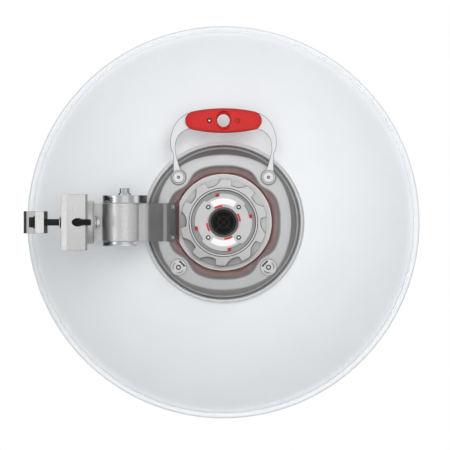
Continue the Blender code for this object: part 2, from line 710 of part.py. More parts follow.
def make_grip():
    """The grip's two halves either side of the bail, and the screw that joins them."""
    near = BAIL_NEAR - GAP
    far = BAIL_FAR + GAP
    halves = []
    for name, seat, face in (("grip_outer", near, GRIP_NEAR_Y), ("grip_inner", far, GRIP_FAR_Y)):
        back = 1.0 if seat > face else -1.0
        rows = [grip_hole_row(seat), grip_row(1.0, seat), grip_row(1.0, face + 5.0 * back)]
        rows += [grip_row(0.93, face + 1.5 * back), grip_row(0.8, face), grip_hole_row(face)]
        halves.append(loft(name, rows, "red_plastic", "dish", closed=True))
    outer, inner = halves
    spot = (DISH_X + GRIP_SCREW_X, GRIP_Z)
    combine(outer, cylinders("grip_hole", [spot], 2.2, 10, 50, "Y", "dish", 12), "DIFFERENCE")
    combine(inner, cylinders("grip_thread", [spot], 2.2, 25, 38, "Y", "dish", 12), "DIFFERENCE")
    seat = GRIP_NEAR_Y - GAP
    screw = [(1.8, 37.0), (1.8, seat), (3.4, seat), (3.4, seat - 1.3), (2.6, seat - 1.9)]
    turned("grip_screw", screw, "steel", "dish", spot, "Y", 16)


clear_scene()
MATERIALS = make_materials()
PIVOTS = make_bodies()

make_clamp_block()
make_elevation_bolt()
make_outer_jaw()
make_jaw_bolt("near", -ROD_Y)
make_jaw_bolt("far", ROD_Y)

make_elbow()
make_azimuth_caps()

through_holes = cylinders(
    "through_holes", BOLT_CENTRES.values(), BOLT_HOLE_RADIUS, 20, 90, "Y", "dish"
)
dish_arm = make_arm()
make_reflector(through_holes)
back_pan = make_pan(through_holes)
make_arm_screws(dish_arm, back_pan)
make_trim_ring()
front_seat = make_front_ring(through_holes)
make_through_bolts(front_seat)

make_gasket()
flange_level = make_port_base()
make_lock_collar(flange_level)
make_port_plate()
make_plug_and_feed()

make_bail()
make_grip()
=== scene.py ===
import math

import bmesh
import bpy
import numpy as np
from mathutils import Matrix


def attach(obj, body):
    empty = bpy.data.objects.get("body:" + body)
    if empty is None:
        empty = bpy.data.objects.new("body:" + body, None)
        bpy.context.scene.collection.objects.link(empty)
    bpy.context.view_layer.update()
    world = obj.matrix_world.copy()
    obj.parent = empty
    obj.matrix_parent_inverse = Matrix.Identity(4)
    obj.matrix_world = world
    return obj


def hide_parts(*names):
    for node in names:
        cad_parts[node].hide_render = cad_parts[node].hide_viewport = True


# Looks of a parabolic dish antenna on a mast clamp, seen from behind when looking along +Y.
# Lengths are in millimetres until skin() makes metres. Levels are along Y, away from the camera.

METRES_PER_MM = 0.001
MM_PER_PIXEL = 1.4796
PICTURE_PIXELS = 450
FLOOR_TOP_Z = -600.0
FLOOR_REACH = 3000.0
LIGHT_AIM = (0.22, 0.1, 0.0)  # in metres

# The dish, whose axis runs along Y
DISH_X = 225.4
DISH_CENTRE = (DISH_X, 0.0)
VERTEX_Y = 45.0
FOCAL_LENGTH = 145.0
SHELL = 2.4
RIM_BEAD_RADIUS = 286.5
RIM_BEAD_SIZE = 3.5
BOLT_OFFSET = 66.6
BOLT_RADIUS = 3.0
BOLT_END_Y = 77.3
SIDES = (("left", -1), ("right", 1))
ROUND_POINTS = 288  # round the large rings

# The pan
PLATEAU_Y = 32.0
PLATEAU_RADIUS = 98.0
PLATEAU_BULGE = 4.6
FLOOR_Y = 48.2
FLOOR_RADIUS = 72.2
RECESS_WAVES = (83.54, 2.21, -2.29, 0.85, -0.35)

# The port
FLANGE_RADIUS = 71.6
FLANGE_FLAT = 65.8
FLANGE_Y = 40.0
NECK_RADIUS = 50.4
WELL_RADIUS = 47.2
WELL_Y = 36.0
COLLAR_RADIUS = 64.4
COLLAR_TOP_Y = 31.5
COLLAR_LOW_Y = 39.7
POCKETS = 10
PLATE_RADIUS = 42.6
NOTCH_RADIUS = 39.0
PLATE_Y = 32.5
PORT_SCREW_OFFSET = 22.5
PLUG_RADIUS = 18.4

# The handle
GRIP_Z = 150.5
GRIP_HALF_LENGTH = 56.65
GRIP_HALF_HEIGHT = 18.4
GRIP_END_RADIUS = 14.0
GRIP_HOLE_RADIUS = 9.1
GRIP_SCREW_X = 21.0
GRIP_NEAR_Y = 17.0
GRIP_FAR_Y = 41.0
BAIL_NEAR = 27.6
BAIL_FAR = 31.6
EYE_RADIUS = 11.7

# The clamp, the elbow, the hub and the arm
BLOCK_HALF_HEIGHT = 41.8
JAW_HALF_HEIGHT = 16.5
JAW_SEAT_X = -53.5
ROD_Y = 44.0
RODS = [(-ROD_Y, 0.0), (ROD_Y, 0.0)]
ROD_RADIUS = 4.9
ROD_HOLE_RADIUS = 6.2
ROD_END_X = 29.4
BLOCK_FACE_X = 24.0
DISC_RADIUS = 32.0
DISC_END_X = 34.4
ELBOW_HALF_HEIGHT = 28.0
HUB_X = 79.0
HUB_Y = 10.0
SHELL_OUTER_RADIUS = 33.0
SHELL_INNER_RADIUS = 27.5
HUB_RADIUS = 27.0
FLANGE_FOOT = (141.2, 26.0)
FLANGE_TIP = (155.0, 42.1)
ARM_SCREW_X = 149.4
ARM_SCREW_Z = 22.6
BARREL_START = 50.0  # degrees round the hub, from +X towards +Y
BARREL_END = 292.0
PIVOT_BORE = 5.4
CAP_TOP_Z = 40.0
CAP_BOTTOM_Z = -35.5
CAP_CUT_X = 96.5
DARK_ARM_X = 114.4

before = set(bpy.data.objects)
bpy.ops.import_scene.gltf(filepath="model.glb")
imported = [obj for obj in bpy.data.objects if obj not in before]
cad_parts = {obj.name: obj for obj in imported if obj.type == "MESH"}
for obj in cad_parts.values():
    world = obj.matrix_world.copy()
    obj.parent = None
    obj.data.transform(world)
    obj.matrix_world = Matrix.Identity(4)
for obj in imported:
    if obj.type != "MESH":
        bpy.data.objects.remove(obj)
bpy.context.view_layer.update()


# Points and outlines

def dish_back(radius):
    """The level of the reflector's back: the parabola VERTEX_Y + radius squared / 4 f."""
    return VERTEX_Y + radius**2 / (4 * FOCAL_LENGTH)


def arc(centre, radius, start, end, steps):
    """Points (centre + radius x (cos t, sin t)) for t from start to end, in degrees."""
    angle = np.radians(np.linspace(start, end, steps + 1))
    return np.stack([centre[0] + radius * np.cos(angle), centre[1] + radius * np.sin(angle)], -1)


def joined(*parts):
    """One array of all the points in some points and lines."""
    return np.concatenate([np.atleast_2d(np.asarray(part, float)) for part in parts])


def without_repeats(points, closed):
    """The points of a line less those that lie on the one before."""
    gap = np.linalg.norm(points - np.roll(points, 1, 0), axis=1)
    if not closed:
        gap[0] = 1.0
    return points[gap > 1e-4]


def rounded(points, radius, steps=4, closed=True):
    """A polyline with its corners made round.

    Each corner p between unit directions a and b gives way to an arc that touches both sides
    at radius x tan(turn / 2) from p, or at 0.48 of the shorter side where that is less. Its
    points are the spherical blend of the two touching radii about the arc's centre.
    """
    points = np.asarray(points, float)
    radii = np.broadcast_to(np.asarray(radius, float), len(points)).copy()
    back = np.roll(points, 1, 0) - points
    ahead = np.roll(points, -1, 0) - points
    back_length = np.linalg.norm(back, axis=1)
    ahead_length = np.linalg.norm(ahead, axis=1)
    a = back / back_length[:, None]
    b = ahead / ahead_length[:, None]
    turn = np.pi - np.arccos(np.clip((a * b).sum(1), -1.0, 1.0))
    half = np.maximum(turn / 2, 1e-4)
    reach = np.minimum(radii * np.tan(half), 0.48 * np.minimum(back_length, ahead_length))
    if not closed:
        reach[[0, -1]] = 0.0
    bisector = a + b
    bisector /= np.maximum(np.linalg.norm(bisector, axis=1), 1e-9)[:, None]
    centre = points + bisector * (reach / np.tan(half) / np.cos(half))[:, None]
    share = np.linspace(0.0, 1.0, steps + 1)[None, :, None]
    angle = np.maximum(turn, 1e-4)[:, None, None]
    first = (points + a * reach[:, None] - centre)[:, None, :]
    last = (points + b * reach[:, None] - centre)[:, None, :]
    blend = (np.sin((1 - share) * angle) * first + np.sin(share * angle) * last) / np.sin(angle)
    curved = (reach > 1e-6) & (turn > 1e-3)
    made = np.where(curved[:, None, None], centre[:, None, :] + blend, points[:, None, :])
    return without_repeats(made.reshape(-1, 2), closed)


def drawn_in(outline, inset):
    """A closed outline moved inwards: each point by inset along the mean normal of its sides."""
    along = np.roll(outline, -1, 0) - outline
    along /= np.linalg.norm(along, axis=1)[:, None]
    x, y = outline[:, 0], outline[:, 1]
    area = np.sum(x * np.roll(y, -1) - np.roll(x, -1) * y)
    inward = np.stack([-along[:, 1], along[:, 0]], -1) * np.sign(area)
    mean = inward + np.roll(inward, 1, 0)
    stretch = np.maximum((mean * inward).sum(1), 0.5)
    return outline + inset * mean / stretch[:, None]


def smooth_line(points, steps=6):
    """A Catmull-Rom curve: between q and r, 0.5 x (2q + (r-p)t + ... ) with t in equal steps."""
    points = np.asarray(points, float)
    padded = np.concatenate([points[:1], points, points[-1:]])
    p, q, r, s = (padded[start : start + len(points) - 1, None, :] for start in range(4))
    t = (np.arange(steps) / steps)[None, :, None]
    curve = 2 * q + (r - p) * t + (2 * p - 5 * q + 4 * r - s) * t**2
    curve = 0.5 * (curve + (3 * q - p - 3 * r + s) * t**3)
    return np.concatenate([curve.reshape(-1, 2), points[-1:]])


def on_axis(axis, across, up, along):
    """World points from two coordinates across an axis and one along it."""
    order = {"X": (along, across, up), "Y": (across, along, up), "Z": (across, up, along)}
    return np.stack(np.broadcast_arrays(*order[axis]), -1)


def angles(count, start=0.0):
    """Equal steps round a circle, in radians."""
    return start + np.arange(count) * 2 * np.pi / count


def turned_rows(rows, angle, axis="Y", centre=DISH_CENTRE):
    """Rows round an axis from (radius, level) pairs, each one value or one for every angle."""
    made = []
    for radius, level in rows:
        across = centre[0] + radius * np.cos(angle)
        up = centre[1] + radius * np.sin(angle)
        made.append(on_axis(axis, across, up, level))
    return np.stack(made)


def turned(profile, count=64, axis="Y", centre=DISH_CENTRE):
    """Rows of a surface of revolution: (radius, level) points carried round the axis."""
    return turned_rows(profile, angles(count), axis, centre)


def slab(outline, low, high, axis="Z", edge=1.0, steps=4):
    """Rows of an outline carried along an axis, its two ends rounded by a quarter circle.

    At t from 0 to a quarter turn the outline is drawn in by edge x (1 - sin t), at
    edge x (1 - cos t) from the end.
    """
    outline = np.asarray(outline, float)
    t = np.linspace(0.0, np.pi / 2, steps + 1)
    insets = edge * (1 - np.sin(t))
    offsets = edge * (1 - np.cos(t))
    levels = np.concatenate([low + offsets, high - offsets[::-1]])
    insets = np.concatenate([insets, insets[::-1]])
    rows = [drawn_in(outline, inset) for inset in insets]
    return np.stack([on_axis(axis, row[:, 0], row[:, 1], level) for row, level in zip(rows, levels)])


def hexagon(across_flats, turn=0.0, corner=0.35):
    """Angles and radii of a hexagon with softened corners; turn, in radians, is a flat's normal."""
    angle = angles(72)
    part = (angle - turn + np.pi / 6) % (np.pi / 3) - np.pi / 6
    radius = across_flats / 2 / np.cos(part)
    return angle, np.minimum(radius, across_flats / 2 / math.cos(math.pi / 6) - corner)


# Meshes

def faces_of(rows, columns, ends):
    """Quads between neighbouring rows of a grid whose columns close round, and its end faces."""
    index = np.arange(rows * columns).reshape(rows, columns)
    low = index if ends == "loop" else index[:-1]
    high = np.roll(index, -1, 0) if ends == "loop" else index[1:]
    quads = np.stack([low, np.roll(low, -1, 1), np.roll(high, -1, 1), high], -1)
    faces = quads.reshape(-1, 4).tolist()
    if ends == "capped":
        faces.append(index[0, ::-1].tolist())
        faces.append(index[-1].tolist())
    return faces


def skin(name, *grids, ends="loop", sharp=32.0):
    """An object of one or more closed grids of points: rows joined in a loop, or capped."""
    points = []
    faces = []
    start = 0
    for grid in grids:
        rows, columns = grid.shape[:2]
        points.append(grid.reshape(-1, 3) * METRES_PER_MM)
        faces += [[start + corner for corner in face] for face in faces_of(rows, columns, ends)]
        start += rows * columns
    mesh = bpy.data.meshes.new(name)
    mesh.from_pydata(np.concatenate(points), [], faces)
    work = bmesh.new()
    work.from_mesh(mesh)
    bmesh.ops.remove_doubles(work, verts=work.verts, dist=1e-7)
    bmesh.ops.recalc_face_normals(work, faces=work.faces)
    work.to_mesh(mesh)
    work.free()
    mesh.shade_smooth()
    mesh.set_sharp_from_angle(angle=math.radians(sharp))
    piece = bpy.data.objects.new(name, mesh)
    bpy.context.scene.collection.objects.link(piece)
    return piece


def bars(name, centres, radius, low, high, axis):
    """A cutter of round bars along one axis."""
    profile = [(radius, low), (radius, high)]
    return skin(name, *[turned(profile, 48, axis, centre) for centre in centres], ends="capped")


def carve(piece, *cutters, sharp=32.0):
    """Cuts solids out of a piece, and keeps the result as its mesh."""
    for cutter in cutters:
        cut = piece.modifiers.new("hole", "BOOLEAN")
        cut.operation = "DIFFERENCE"
        cut.solver = "EXACT"
        cut.object = cutter
    graph = bpy.context.evaluated_depsgraph_get()
    made = bpy.data.meshes.new_from_object(piece.evaluated_get(graph))
    piece.modifiers.clear()
    piece.data = made
    for cutter in cutters:
        bpy.data.objects.remove(cutter)
    made.shade_smooth()
    made.set_sharp_from_angle(angle=math.radians(sharp))
    return piece


def even_normals(piece):
    """Flat faces keep flat shading beside their rounded edges."""
    weigh = piece.modifiers.new("even_normals", "WEIGHTED_NORMAL")
    weigh.keep_sharp = True
    weigh.weight = 80
    return piece


def dress(piece, body, finish, slot, *nodes):
    """Gives a piece its finish and its body, and hides the CAD nodes that it stands for; its slot is
    not used.
    """
    if not piece.data.materials:
        piece.data.materials.append(finish)
    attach(piece, body)
    if nodes:
        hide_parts(*nodes)
    return piece


def add(name, rows, *dressing, ends="loop", sharp=32.0):
    """A dressed piece: dressing is its body, finish, slot and the CAD nodes it stands for."""
    return dress(skin(name, rows, ends=ends, sharp=sharp), *dressing)


# Shader maths

class Value:
    """A shader socket whose arithmetic adds Math nodes."""

    def __init__(self, finish, socket):
        self.finish = finish
        self.socket = socket

    def math(self, operation, *others):
        inputs = dict(enumerate((self, *others)))
        return self.finish.node("ShaderNodeMath", {"operation": operation}, inputs)

    def turned_round(self, operation, other):
        return self.finish.node("ShaderNodeMath", {"operation": operation}, {0: other, 1: self})

    def __add__(self, other):
        return self.math("ADD", other)

    def __sub__(self, other):
        return self.math("SUBTRACT", other)

    def __rsub__(self, other):
        return self.turned_round("SUBTRACT", other)

    def __mul__(self, other):
        return self.math("MULTIPLY", other)

    def __truediv__(self, other):
        return self.math("DIVIDE", other)

    def __rtruediv__(self, other):
        return self.turned_round("DIVIDE", other)

    def __pow__(self, other):
        return self.math("POWER", other)

    def __neg__(self):
        return self.math("MULTIPLY", -1.0)

    __radd__ = __add__
    __rmul__ = __mul__

    def smooth(self, low, high, start=0.0, end=1.0):
        """Start below low, end above high, and a smooth step between."""
        settings = {"interpolation_type": "SMOOTHSTEP"}
        inputs = {0: self, 1: low, 2: high, 3: start, 4: end}
        return self.finish.node("ShaderNodeMapRange", settings, inputs)


class Tree:
    """A node tree and the ways to add to it."""

    def __init__(self, tree):
        self.tree = tree

    def node(self, kind, settings=None, inputs=None, output=0):
        made = self.tree.nodes.new(kind)
        for name, value in (settings or {}).items():
            if name == "stops":
                self.set_stops(made.color_ramp, value)
            else:
                setattr(made, name, value)
        for name, value in (inputs or {}).items():
            self.put(made.inputs[name], value)
        return Value(self, made.outputs[output])

    def put(self, socket, value):
        if isinstance(value, Value):
            self.tree.links.new(value.socket, socket)
        elif isinstance(value, tuple) and len(value) == 3 and socket.type == "RGBA":
            socket.default_value = (*value, 1.0)
        else:
            socket.default_value = value

    @staticmethod
    def set_stops(ramp, stops):
        while len(ramp.elements) < len(stops):
            ramp.elements.new(0.5)
        for element, (place, value) in zip(ramp.elements, stops):
            element.position = place
            element.color = (value, value, value, 1.0)

    def blend(self, factor, first, second):
        """A colour between two others."""
        inputs = {"Factor": factor, 6: first, 7: second}
        return self.node("ShaderNodeMix", {"data_type": "RGBA"}, inputs, 2)


class Finish(Tree):
    """A material: its shader, and the object's coordinates in millimetres."""

    def __init__(self, name, colour, roughness, metallic=0.0, **fixed):
        self.material = bpy.data.materials.new(name)
        self.material.use_nodes = True
        super().__init__(self.material.node_tree)
        self.shader = self.tree.nodes["Principled BSDF"]
        self.set("Base Color", colour)
        self.set("Roughness", roughness)
        self.set("Metallic", metallic)
        for words, value in fixed.items():
            self.set(words.replace("_", " "), value)
        spot = self.node("ShaderNodeTexCoord", output="Object")
        settings = {"operation": "SCALE"}
        self.place = self.node("ShaderNodeVectorMath", settings, {0: spot, "Scale": 1000.0})
        self.x, self.y, self.z = (
            self.node("ShaderNodeSeparateXYZ", inputs={0: self.place}, output=axis)
            for axis in ("X", "Y", "Z")
        )

    def set(self, name, value):
        self.put(self.shader.inputs[name], value)

    def vector(self, x, y, z):
        return self.node("ShaderNodeCombineXYZ", inputs={0: x, 1: y, 2: z})

    def noise(self, size, detail=2.0, roughness=0.5, at=None):
        """Noise from 0 to 1 whose features are about size millimetres across."""
        inputs = {"Vector": at or self.place, "Scale": 1.0 / size, "Detail": detail}
        inputs["Roughness"] = roughness
        return self.node("ShaderNodeTexNoise", inputs=inputs)

    def cells(self, size, at=None):
        inputs = {"Vector": at or self.place, "Scale": 1.0 / size}
        return self.node("ShaderNodeTexVoronoi", inputs=inputs)

    def bump(self, height, depth, strength=1.0):
        """A normal from a height of 0 to 1 that stands for depth millimetres."""
        inputs = {"Height": height, "Distance": depth * METRES_PER_MM, "Strength": strength}
        self.set("Normal", self.node("ShaderNodeBump", inputs=inputs))

    def round_dish(self):
        """The distance from the dish's axis, and the unit direction from it as two values."""
        across = self.x - DISH_X
        radius = (across * across + self.z * self.z).math("SQRT")
        return radius, across / (radius + 0.01), self.z / (radius + 0.01)


# Finishes

def grey(value):
    """A colour without a hue."""
    return (value, value, value)


def clouded(name, low, high, clouds, roughness, relief=None, **fixed):
    """A finish that drifts between two colours in clouds of a size and a detail.

    Roughness is one value, or a range that goes with the clouds. Relief is the size and the
    detail of a grain, its depth in millimetres and its strength.
    """
    made = Finish(name, high, roughness[0], **fixed)
    cloud = made.noise(*clouds)
    made.set("Base Color", made.blend(cloud, low, high))
    if len(roughness) > 1:
        made.set("Roughness", cloud.smooth(0.3, 0.7, *roughness))
    if relief:
        size, detail, depth, strength = relief
        made.bump(made.noise(size, detail), depth, strength)
    return made.material


def white_coat():
    """Powder coat: a faint cloudiness, and a fine orange-peel relief."""
    made = Finish("white_powder_coat", (0.83, 0.85, 0.87), 0.42)
    cloud = made.noise(60.0, 3.0)
    made.set("Base Color", made.blend(cloud, (0.80, 0.825, 0.85), (0.85, 0.87, 0.89)))
    made.set("Roughness", made.noise(9.0, 2.0).smooth(0.3, 0.7, 0.38, 0.50))
    made.bump(made.noise(1.3, 1.0), 0.02, 0.35)
    return made.material


def cast_metal(name, shade, gloss):
    """Sand-blasted cast aluminium: dark speckle, pale blotches and a grainy relief.

    Painted shade: the arm beyond DARK_ARM_X is darker, for the shade of the recess it reaches
    into, on its darker foundry skin. The elbow's disc, web and barrel side, the jaw's end, cheek
    and notch, the block's flank and slope, and the rod holes are painted darker for shade.
    """
    made = Finish(name, grey(0.6), 0.4, 0.9)
    blotch = made.noise(14.0, 3.0, 0.6)
    speck = made.noise(1.8, 3.0, 0.75).smooth(0.52, 0.70)
    grain = made.noise(0.45, 1.0)
    low = (0.80 * shade, 0.80 * shade, 0.795 * shade)
    high = (0.94 * shade, 0.94 * shade, 0.935 * shade)
    base = made.blend(blotch, low, high)
    base = made.blend(speck * 0.55, base, (0.44 * shade, 0.46 * shade, 0.455 * shade))
    shade_tone_streak = made.noise(1.0, 2.0, 0.5, made.vector(made.x * 0.9, made.y * 0.9, made.z * 0.12))
    if name == "arm_aluminium":
        # Painted shade: beyond DARK_ARM_X the arm is darker, for the shade of the recess it reaches
        # into, on a darker foundry skin.
        painted_shade_tone = made.blend(shade_tone_streak, (0.27, 0.27, 0.273), (0.40, 0.40, 0.403))
        base = made.blend(made.x.smooth(DARK_ARM_X - 3.2, DARK_ARM_X + 3.8), base, painted_shade_tone)
    if name == "elbow_aluminium":
        # Painted shade: the scale disc is darker all over and more so on its low side; the web and the
        # barrel's left side are darker for the shade and the dark reflection of the block beside them.
        disc = 1 - made.x.smooth(34.0, 35.0)
        low_side_shade = disc * made.z.smooth(-30.0, 10.0, 0.35, 0.0)
        base = made.blend(low_side_shade + disc * 0.16, base, grey(0.25))
        web = made.x.smooth(34.5, 35.5) * (1 - made.x.smooth(45.5, 47.5))
        side = made.x.smooth(46.0, 48.0) * (1 - made.x.smooth(52.0, 60.0))
        base = made.blend(web * 0.22 + side * 0.45, base, grey(0.16))
    if name == "cast_aluminium":
        # Painted shade: the jaw's end, the block's flank (near-black in its middle, where it faces the
        # elbow), the block's slope (darker towards the bottom), and the jaw's cheek and notch are
        # darker for the shade on them.
        painted_shade_tone = made.blend(shade_tone_streak, (0.22, 0.222, 0.225), (0.32, 0.322, 0.325))
        jaw_end = 1 - made.x.smooth(-66.5, -65.9)
        flank = made.x.smooth(20.6, 21.2)
        middle = flank * (1 - made.y.math("ABSOLUTE").smooth(12.0, 27.0))
        base = made.blend(jaw_end, base, painted_shade_tone)
        base = made.blend(flank * 0.62, base, grey(0.16))
        base = made.blend(middle, base, grey(0.05))
        slope = made.x.smooth(-7.5, -5.5) * (-made.y).smooth(30.0, 34.0)
        tone = slope * (0.36 - made.z.smooth(-42.0, 42.0, 0.0, 0.20))
        base = made.blend(tone, base, (0.30, 0.31, 0.31))
        notch = (1 - made.x.smooth(-66.4, -58.0)) * made.x.smooth(-66.8, -66.2)
        cheek = (1 - made.x.smooth(-36.0, -34.8)) * made.x.smooth(-41.0, -39.4)
        base = made.blend(cheek * 0.72, base, grey(0.10))
        base = made.blend(notch * 0.10, base, grey(0.10))
        made.set("Metallic", 0.9 - flank * 0.45)
        # Painted shade: within the hole's radius of each rod's axis the surface is near-black, for the
        # shade inside the rod holes.
        from_rod = made.y.math("ABSOLUTE") - ROD_Y
        from_rod = (from_rod * from_rod + made.z * made.z).math("SQRT")
        base = made.blend(from_rod.smooth(6.1, 6.35), (0.012, 0.012, 0.013), base)
    made.set("Base Color", base)
    made.set("Roughness", (blotch * 0.10 + gloss) + grain * 0.05)
    made.bump(made.noise(0.8, 3.0, 0.65), 0.05, 0.3)
    return made.material


def pan_metal():
    """The pan: a brushed plateau, and duller walls that were not brushed, with painted shade on the
    walls and towards the lower left.
    """
    made = Finish("brushed_pan_aluminium", grey(0.6), 0.4, 0.9)
    radius, cosine, sine = made.round_dish()
    streak_place = made.vector(made.x * 0.35, made.y * 0.5, made.z * 0.8)
    streak = made.noise(1.0, 4.0, 0.7, streak_place)
    level = made.y.smooth(PLATEAU_Y + 0.5, PLATEAU_Y + 3.5)
    brushed = made.blend(streak, (0.56, 0.57, 0.575), (0.80, 0.81, 0.815))
    # Painted light: the brushed plateau is lighter towards its top.
    painted_top_light = sine.smooth(0.35, 0.95, 0.0, 0.28) * (1 - radius.smooth(92.0, 99.0, 0.0, 0.6))
    brushed = made.blend(painted_top_light, brushed, (0.93, 0.93, 0.935))
    blotch = made.noise(10.0, 3.0)
    # The walls' dark colour is partly unbrushed cast skin and partly painted shade.
    dull = made.blend(blotch, (0.30, 0.288, 0.282), (0.43, 0.415, 0.407))
    # The recess's walls: dark grey, reddish towards the port, and darker on the upper right, where
    # painted shade stands in for walls facing away from the light.
    lit = (cosine + sine) * -0.055 + 0.5
    reddish = made.blend(blotch, (0.54, 0.37, 0.365), (0.74, 0.53, 0.52))
    plain = made.blend(blotch, (0.34, 0.31, 0.305), (0.46, 0.43, 0.425))
    recess_tone_and_shade = made.blend(radius.smooth(74.0, 88.0), reddish, plain)
    recess_tone_and_shade = made.blend(lit.smooth(0.42, 0.58, 0.12, 0.0), recess_tone_and_shade, (0.16, 0.12, 0.12))
    inside = (1 - radius.smooth(96.0, 98.0)) * made.y.smooth(PLATEAU_Y + 1.0, PLATEAU_Y + 9.0)
    ledge = radius.smooth(107.9, 108.5)
    # Painted shade: the outer walls are darker towards the top, where they face down.
    dull = made.blend(sine.smooth(0.3, 1.0, 0.0, 0.5), dull, (0.15, 0.14, 0.137))
    outside = made.blend(ledge, made.blend(level, brushed, dull), grey(0.52))
    lean = (made.x - DISH_X) * 0.4 + made.z
    shaded = made.blend(lean.smooth(-110.0, 70.0, 0.32, 0.0), outside, (0.34, 0.34, 0.345))
    made.set("Base Color", made.blend(inside, shaded, recess_tone_and_shade))
    made.set("Roughness", level * 0.18 + (streak * 0.14 + 0.34))
    made.bump(streak * (1 - level) + made.noise(0.9, 2.0) * level, 0.05, 0.35)
    return made.material


def bright_bead():
    """The rolled bead of the pan's trim, polished by handling."""
    low, high = (0.84, 0.85, 0.86), (0.97, 0.975, 0.98)
    return clouded("polished_bead", low, high, (6.0, 3.0), (0.42, 0.54), metallic=0.9)


def zinc():
    """Bright zinc plate with the faint clouding of passivation; painted shade darkens the azimuth caps'
    right part and the elevation bolt's flange.
    """
    made = Finish("zinc_plate", (0.7, 0.72, 0.76), 0.2, 1.0)
    cloud = made.noise(5.0, 3.0, 0.6)
    plate = made.blend(cloud, (0.60, 0.62, 0.65), (0.72, 0.735, 0.76))
    # Painted shade: much darker beyond X 97 to 103, on the caps' right part, and darker on the flange
    # ring between X 36.3 and 38.3.
    plate = made.blend(made.x.smooth(97.0, 103.0, 0.0, 0.88), plate, (0.07, 0.075, 0.08))
    flange = made.x.smooth(36.3, 36.5) * (1 - made.x.smooth(38.0, 38.3))
    made.set("Base Color", made.blend(flange * 0.6, plate, (0.20, 0.21, 0.22)))
    made.set("Roughness", cloud.smooth(0.3, 0.7, 0.13, 0.20))
    made.bump(made.noise(0.9, 2.0), 0.004, 0.15)
    return made.material


def steel():
    """Stainless steel with faint clouds."""
    low, high = (0.74, 0.74, 0.75), grey(0.88)
    return clouded("stainless_steel", low, high, (2.0, 2.0), (0.22, 0.36), metallic=1.0)


def black_oxide():
    """Matt black oxide with a fine grain."""
    low, high = (0.006, 0.0075, 0.009), (0.014, 0.017, 0.019)
    clouds, relief = (3.0, 3.0, 0.6), (0.5, 2.0, 0.02, 0.4)
    gloss = {"Specular_IOR_Level": 0.22}
    return clouded("black_oxide_steel", low, high, clouds, (0.42, 0.60), relief, **gloss)


def port_paint(name, shade):
    """Light grey moulded polymer of the port, with a fine matt grain; the collar and the flange carry
    painted shade and painted light.
    """
    made = Finish(name, (0.56, 0.56, 0.55), 0.45)
    cloud = made.noise(16.0, 3.0)
    low = (0.54 * shade, 0.545 * shade, 0.54 * shade)
    high = (0.61 * shade, 0.615 * shade, 0.61 * shade)
    base = made.blend(cloud, low, high)
    across = made.x - DISH_X
    if name == "collar_grey":
        # Painted shade and light: the collar is darker towards the lower left and lighter towards the
        # upper right.
        lean = across * 0.6 + made.z
        base = made.blend(lean.smooth(-75.0, 5.0, 0.46, 0.0), base, grey(0.28))
        base = made.blend(lean.smooth(0.0, 75.0, 0.0, 0.25), base, (0.60, 0.605, 0.60))
        # Painted shade: the pocket floors are darker towards the lower left, and a near-black line lies
        # under the pocket lips.
        pocket = made.y.smooth(COLLAR_TOP_Y + 0.9, COLLAR_TOP_Y + 3.4)
        deep = made.y.smooth(COLLAR_TOP_Y + 5.0, COLLAR_TOP_Y + 7.2, 0.0, 0.5)
        side = lean.smooth(-60.0, 35.0, 0.66, 0.06)
        base = made.blend(pocket * (side - deep * side), base, (0.16, 0.165, 0.165))
        lip = made.y.smooth(COLLAR_TOP_Y + 0.25, COLLAR_TOP_Y + 0.6)
        lip = lip * (1 - made.y.smooth(COLLAR_TOP_Y + 2.5, COLLAR_TOP_Y + 4.0))
        from_axis = (across * across + made.z * made.z).math("SQRT")
        lip = lip * (1 - from_axis.smooth(62.8, 64.0))
        base = made.blend(lip * 0.95, base, grey(0.015))
    if name == "port_grey":
        radius, cosine, sine = made.round_dish()
        # Painted shade in the corner under the neck and on the flange's low side, and painted light on
        # its outer edge.
        corner = made.y.smooth(FLANGE_Y - 0.6, FLANGE_Y - 0.1) * (1 - radius.smooth(63.0, 69.5))
        base = made.blend(corner * (-sine).smooth(0.2, 0.9, 0.0, 0.80), base, grey(0.08))
        ledge = made.y.smooth(FLANGE_Y - 0.6, FLANGE_Y - 0.1) * (-sine).smooth(0.3, 0.95, 0.0, 0.28)
        base = made.blend(ledge, base, grey(0.20))
        edge = radius.smooth(68.8, 71.4) * made.y.smooth(FLANGE_Y - 0.6, FLANGE_Y - 0.1)
        base = made.blend(edge * 0.9, base, (0.86, 0.81, 0.80))
    made.set("Base Color", base)
    made.set("Roughness", made.noise(4.0, 2.0).smooth(0.3, 0.7, 0.40, 0.52))
    made.bump(made.noise(0.55, 2.0), 0.025, 0.35)
    return made.material


def white_nylon():
    """White moulded nylon whose drafted sides are painted grey for the shade on them."""
    made = Finish("white_nylon", (0.84, 0.85, 0.85), 0.45)
    cloud = made.noise(22.0, 2.0)
    front = made.blend(cloud, (0.62, 0.63, 0.64), (0.67, 0.675, 0.68))
    # Painted shade: behind the front face, the bail's drafted sides are grey.
    side = made.y.smooth(BAIL_NEAR + 0.12, BAIL_NEAR + 0.45)
    made.set("Base Color", made.blend(side, front, (0.16, 0.165, 0.17)))
    made.set("Roughness", made.noise(5.0, 2.0).smooth(0.3, 0.7, 0.38, 0.50))
    made.bump(made.noise(0.8, 2.0), 0.02, 0.3)
    return made.material


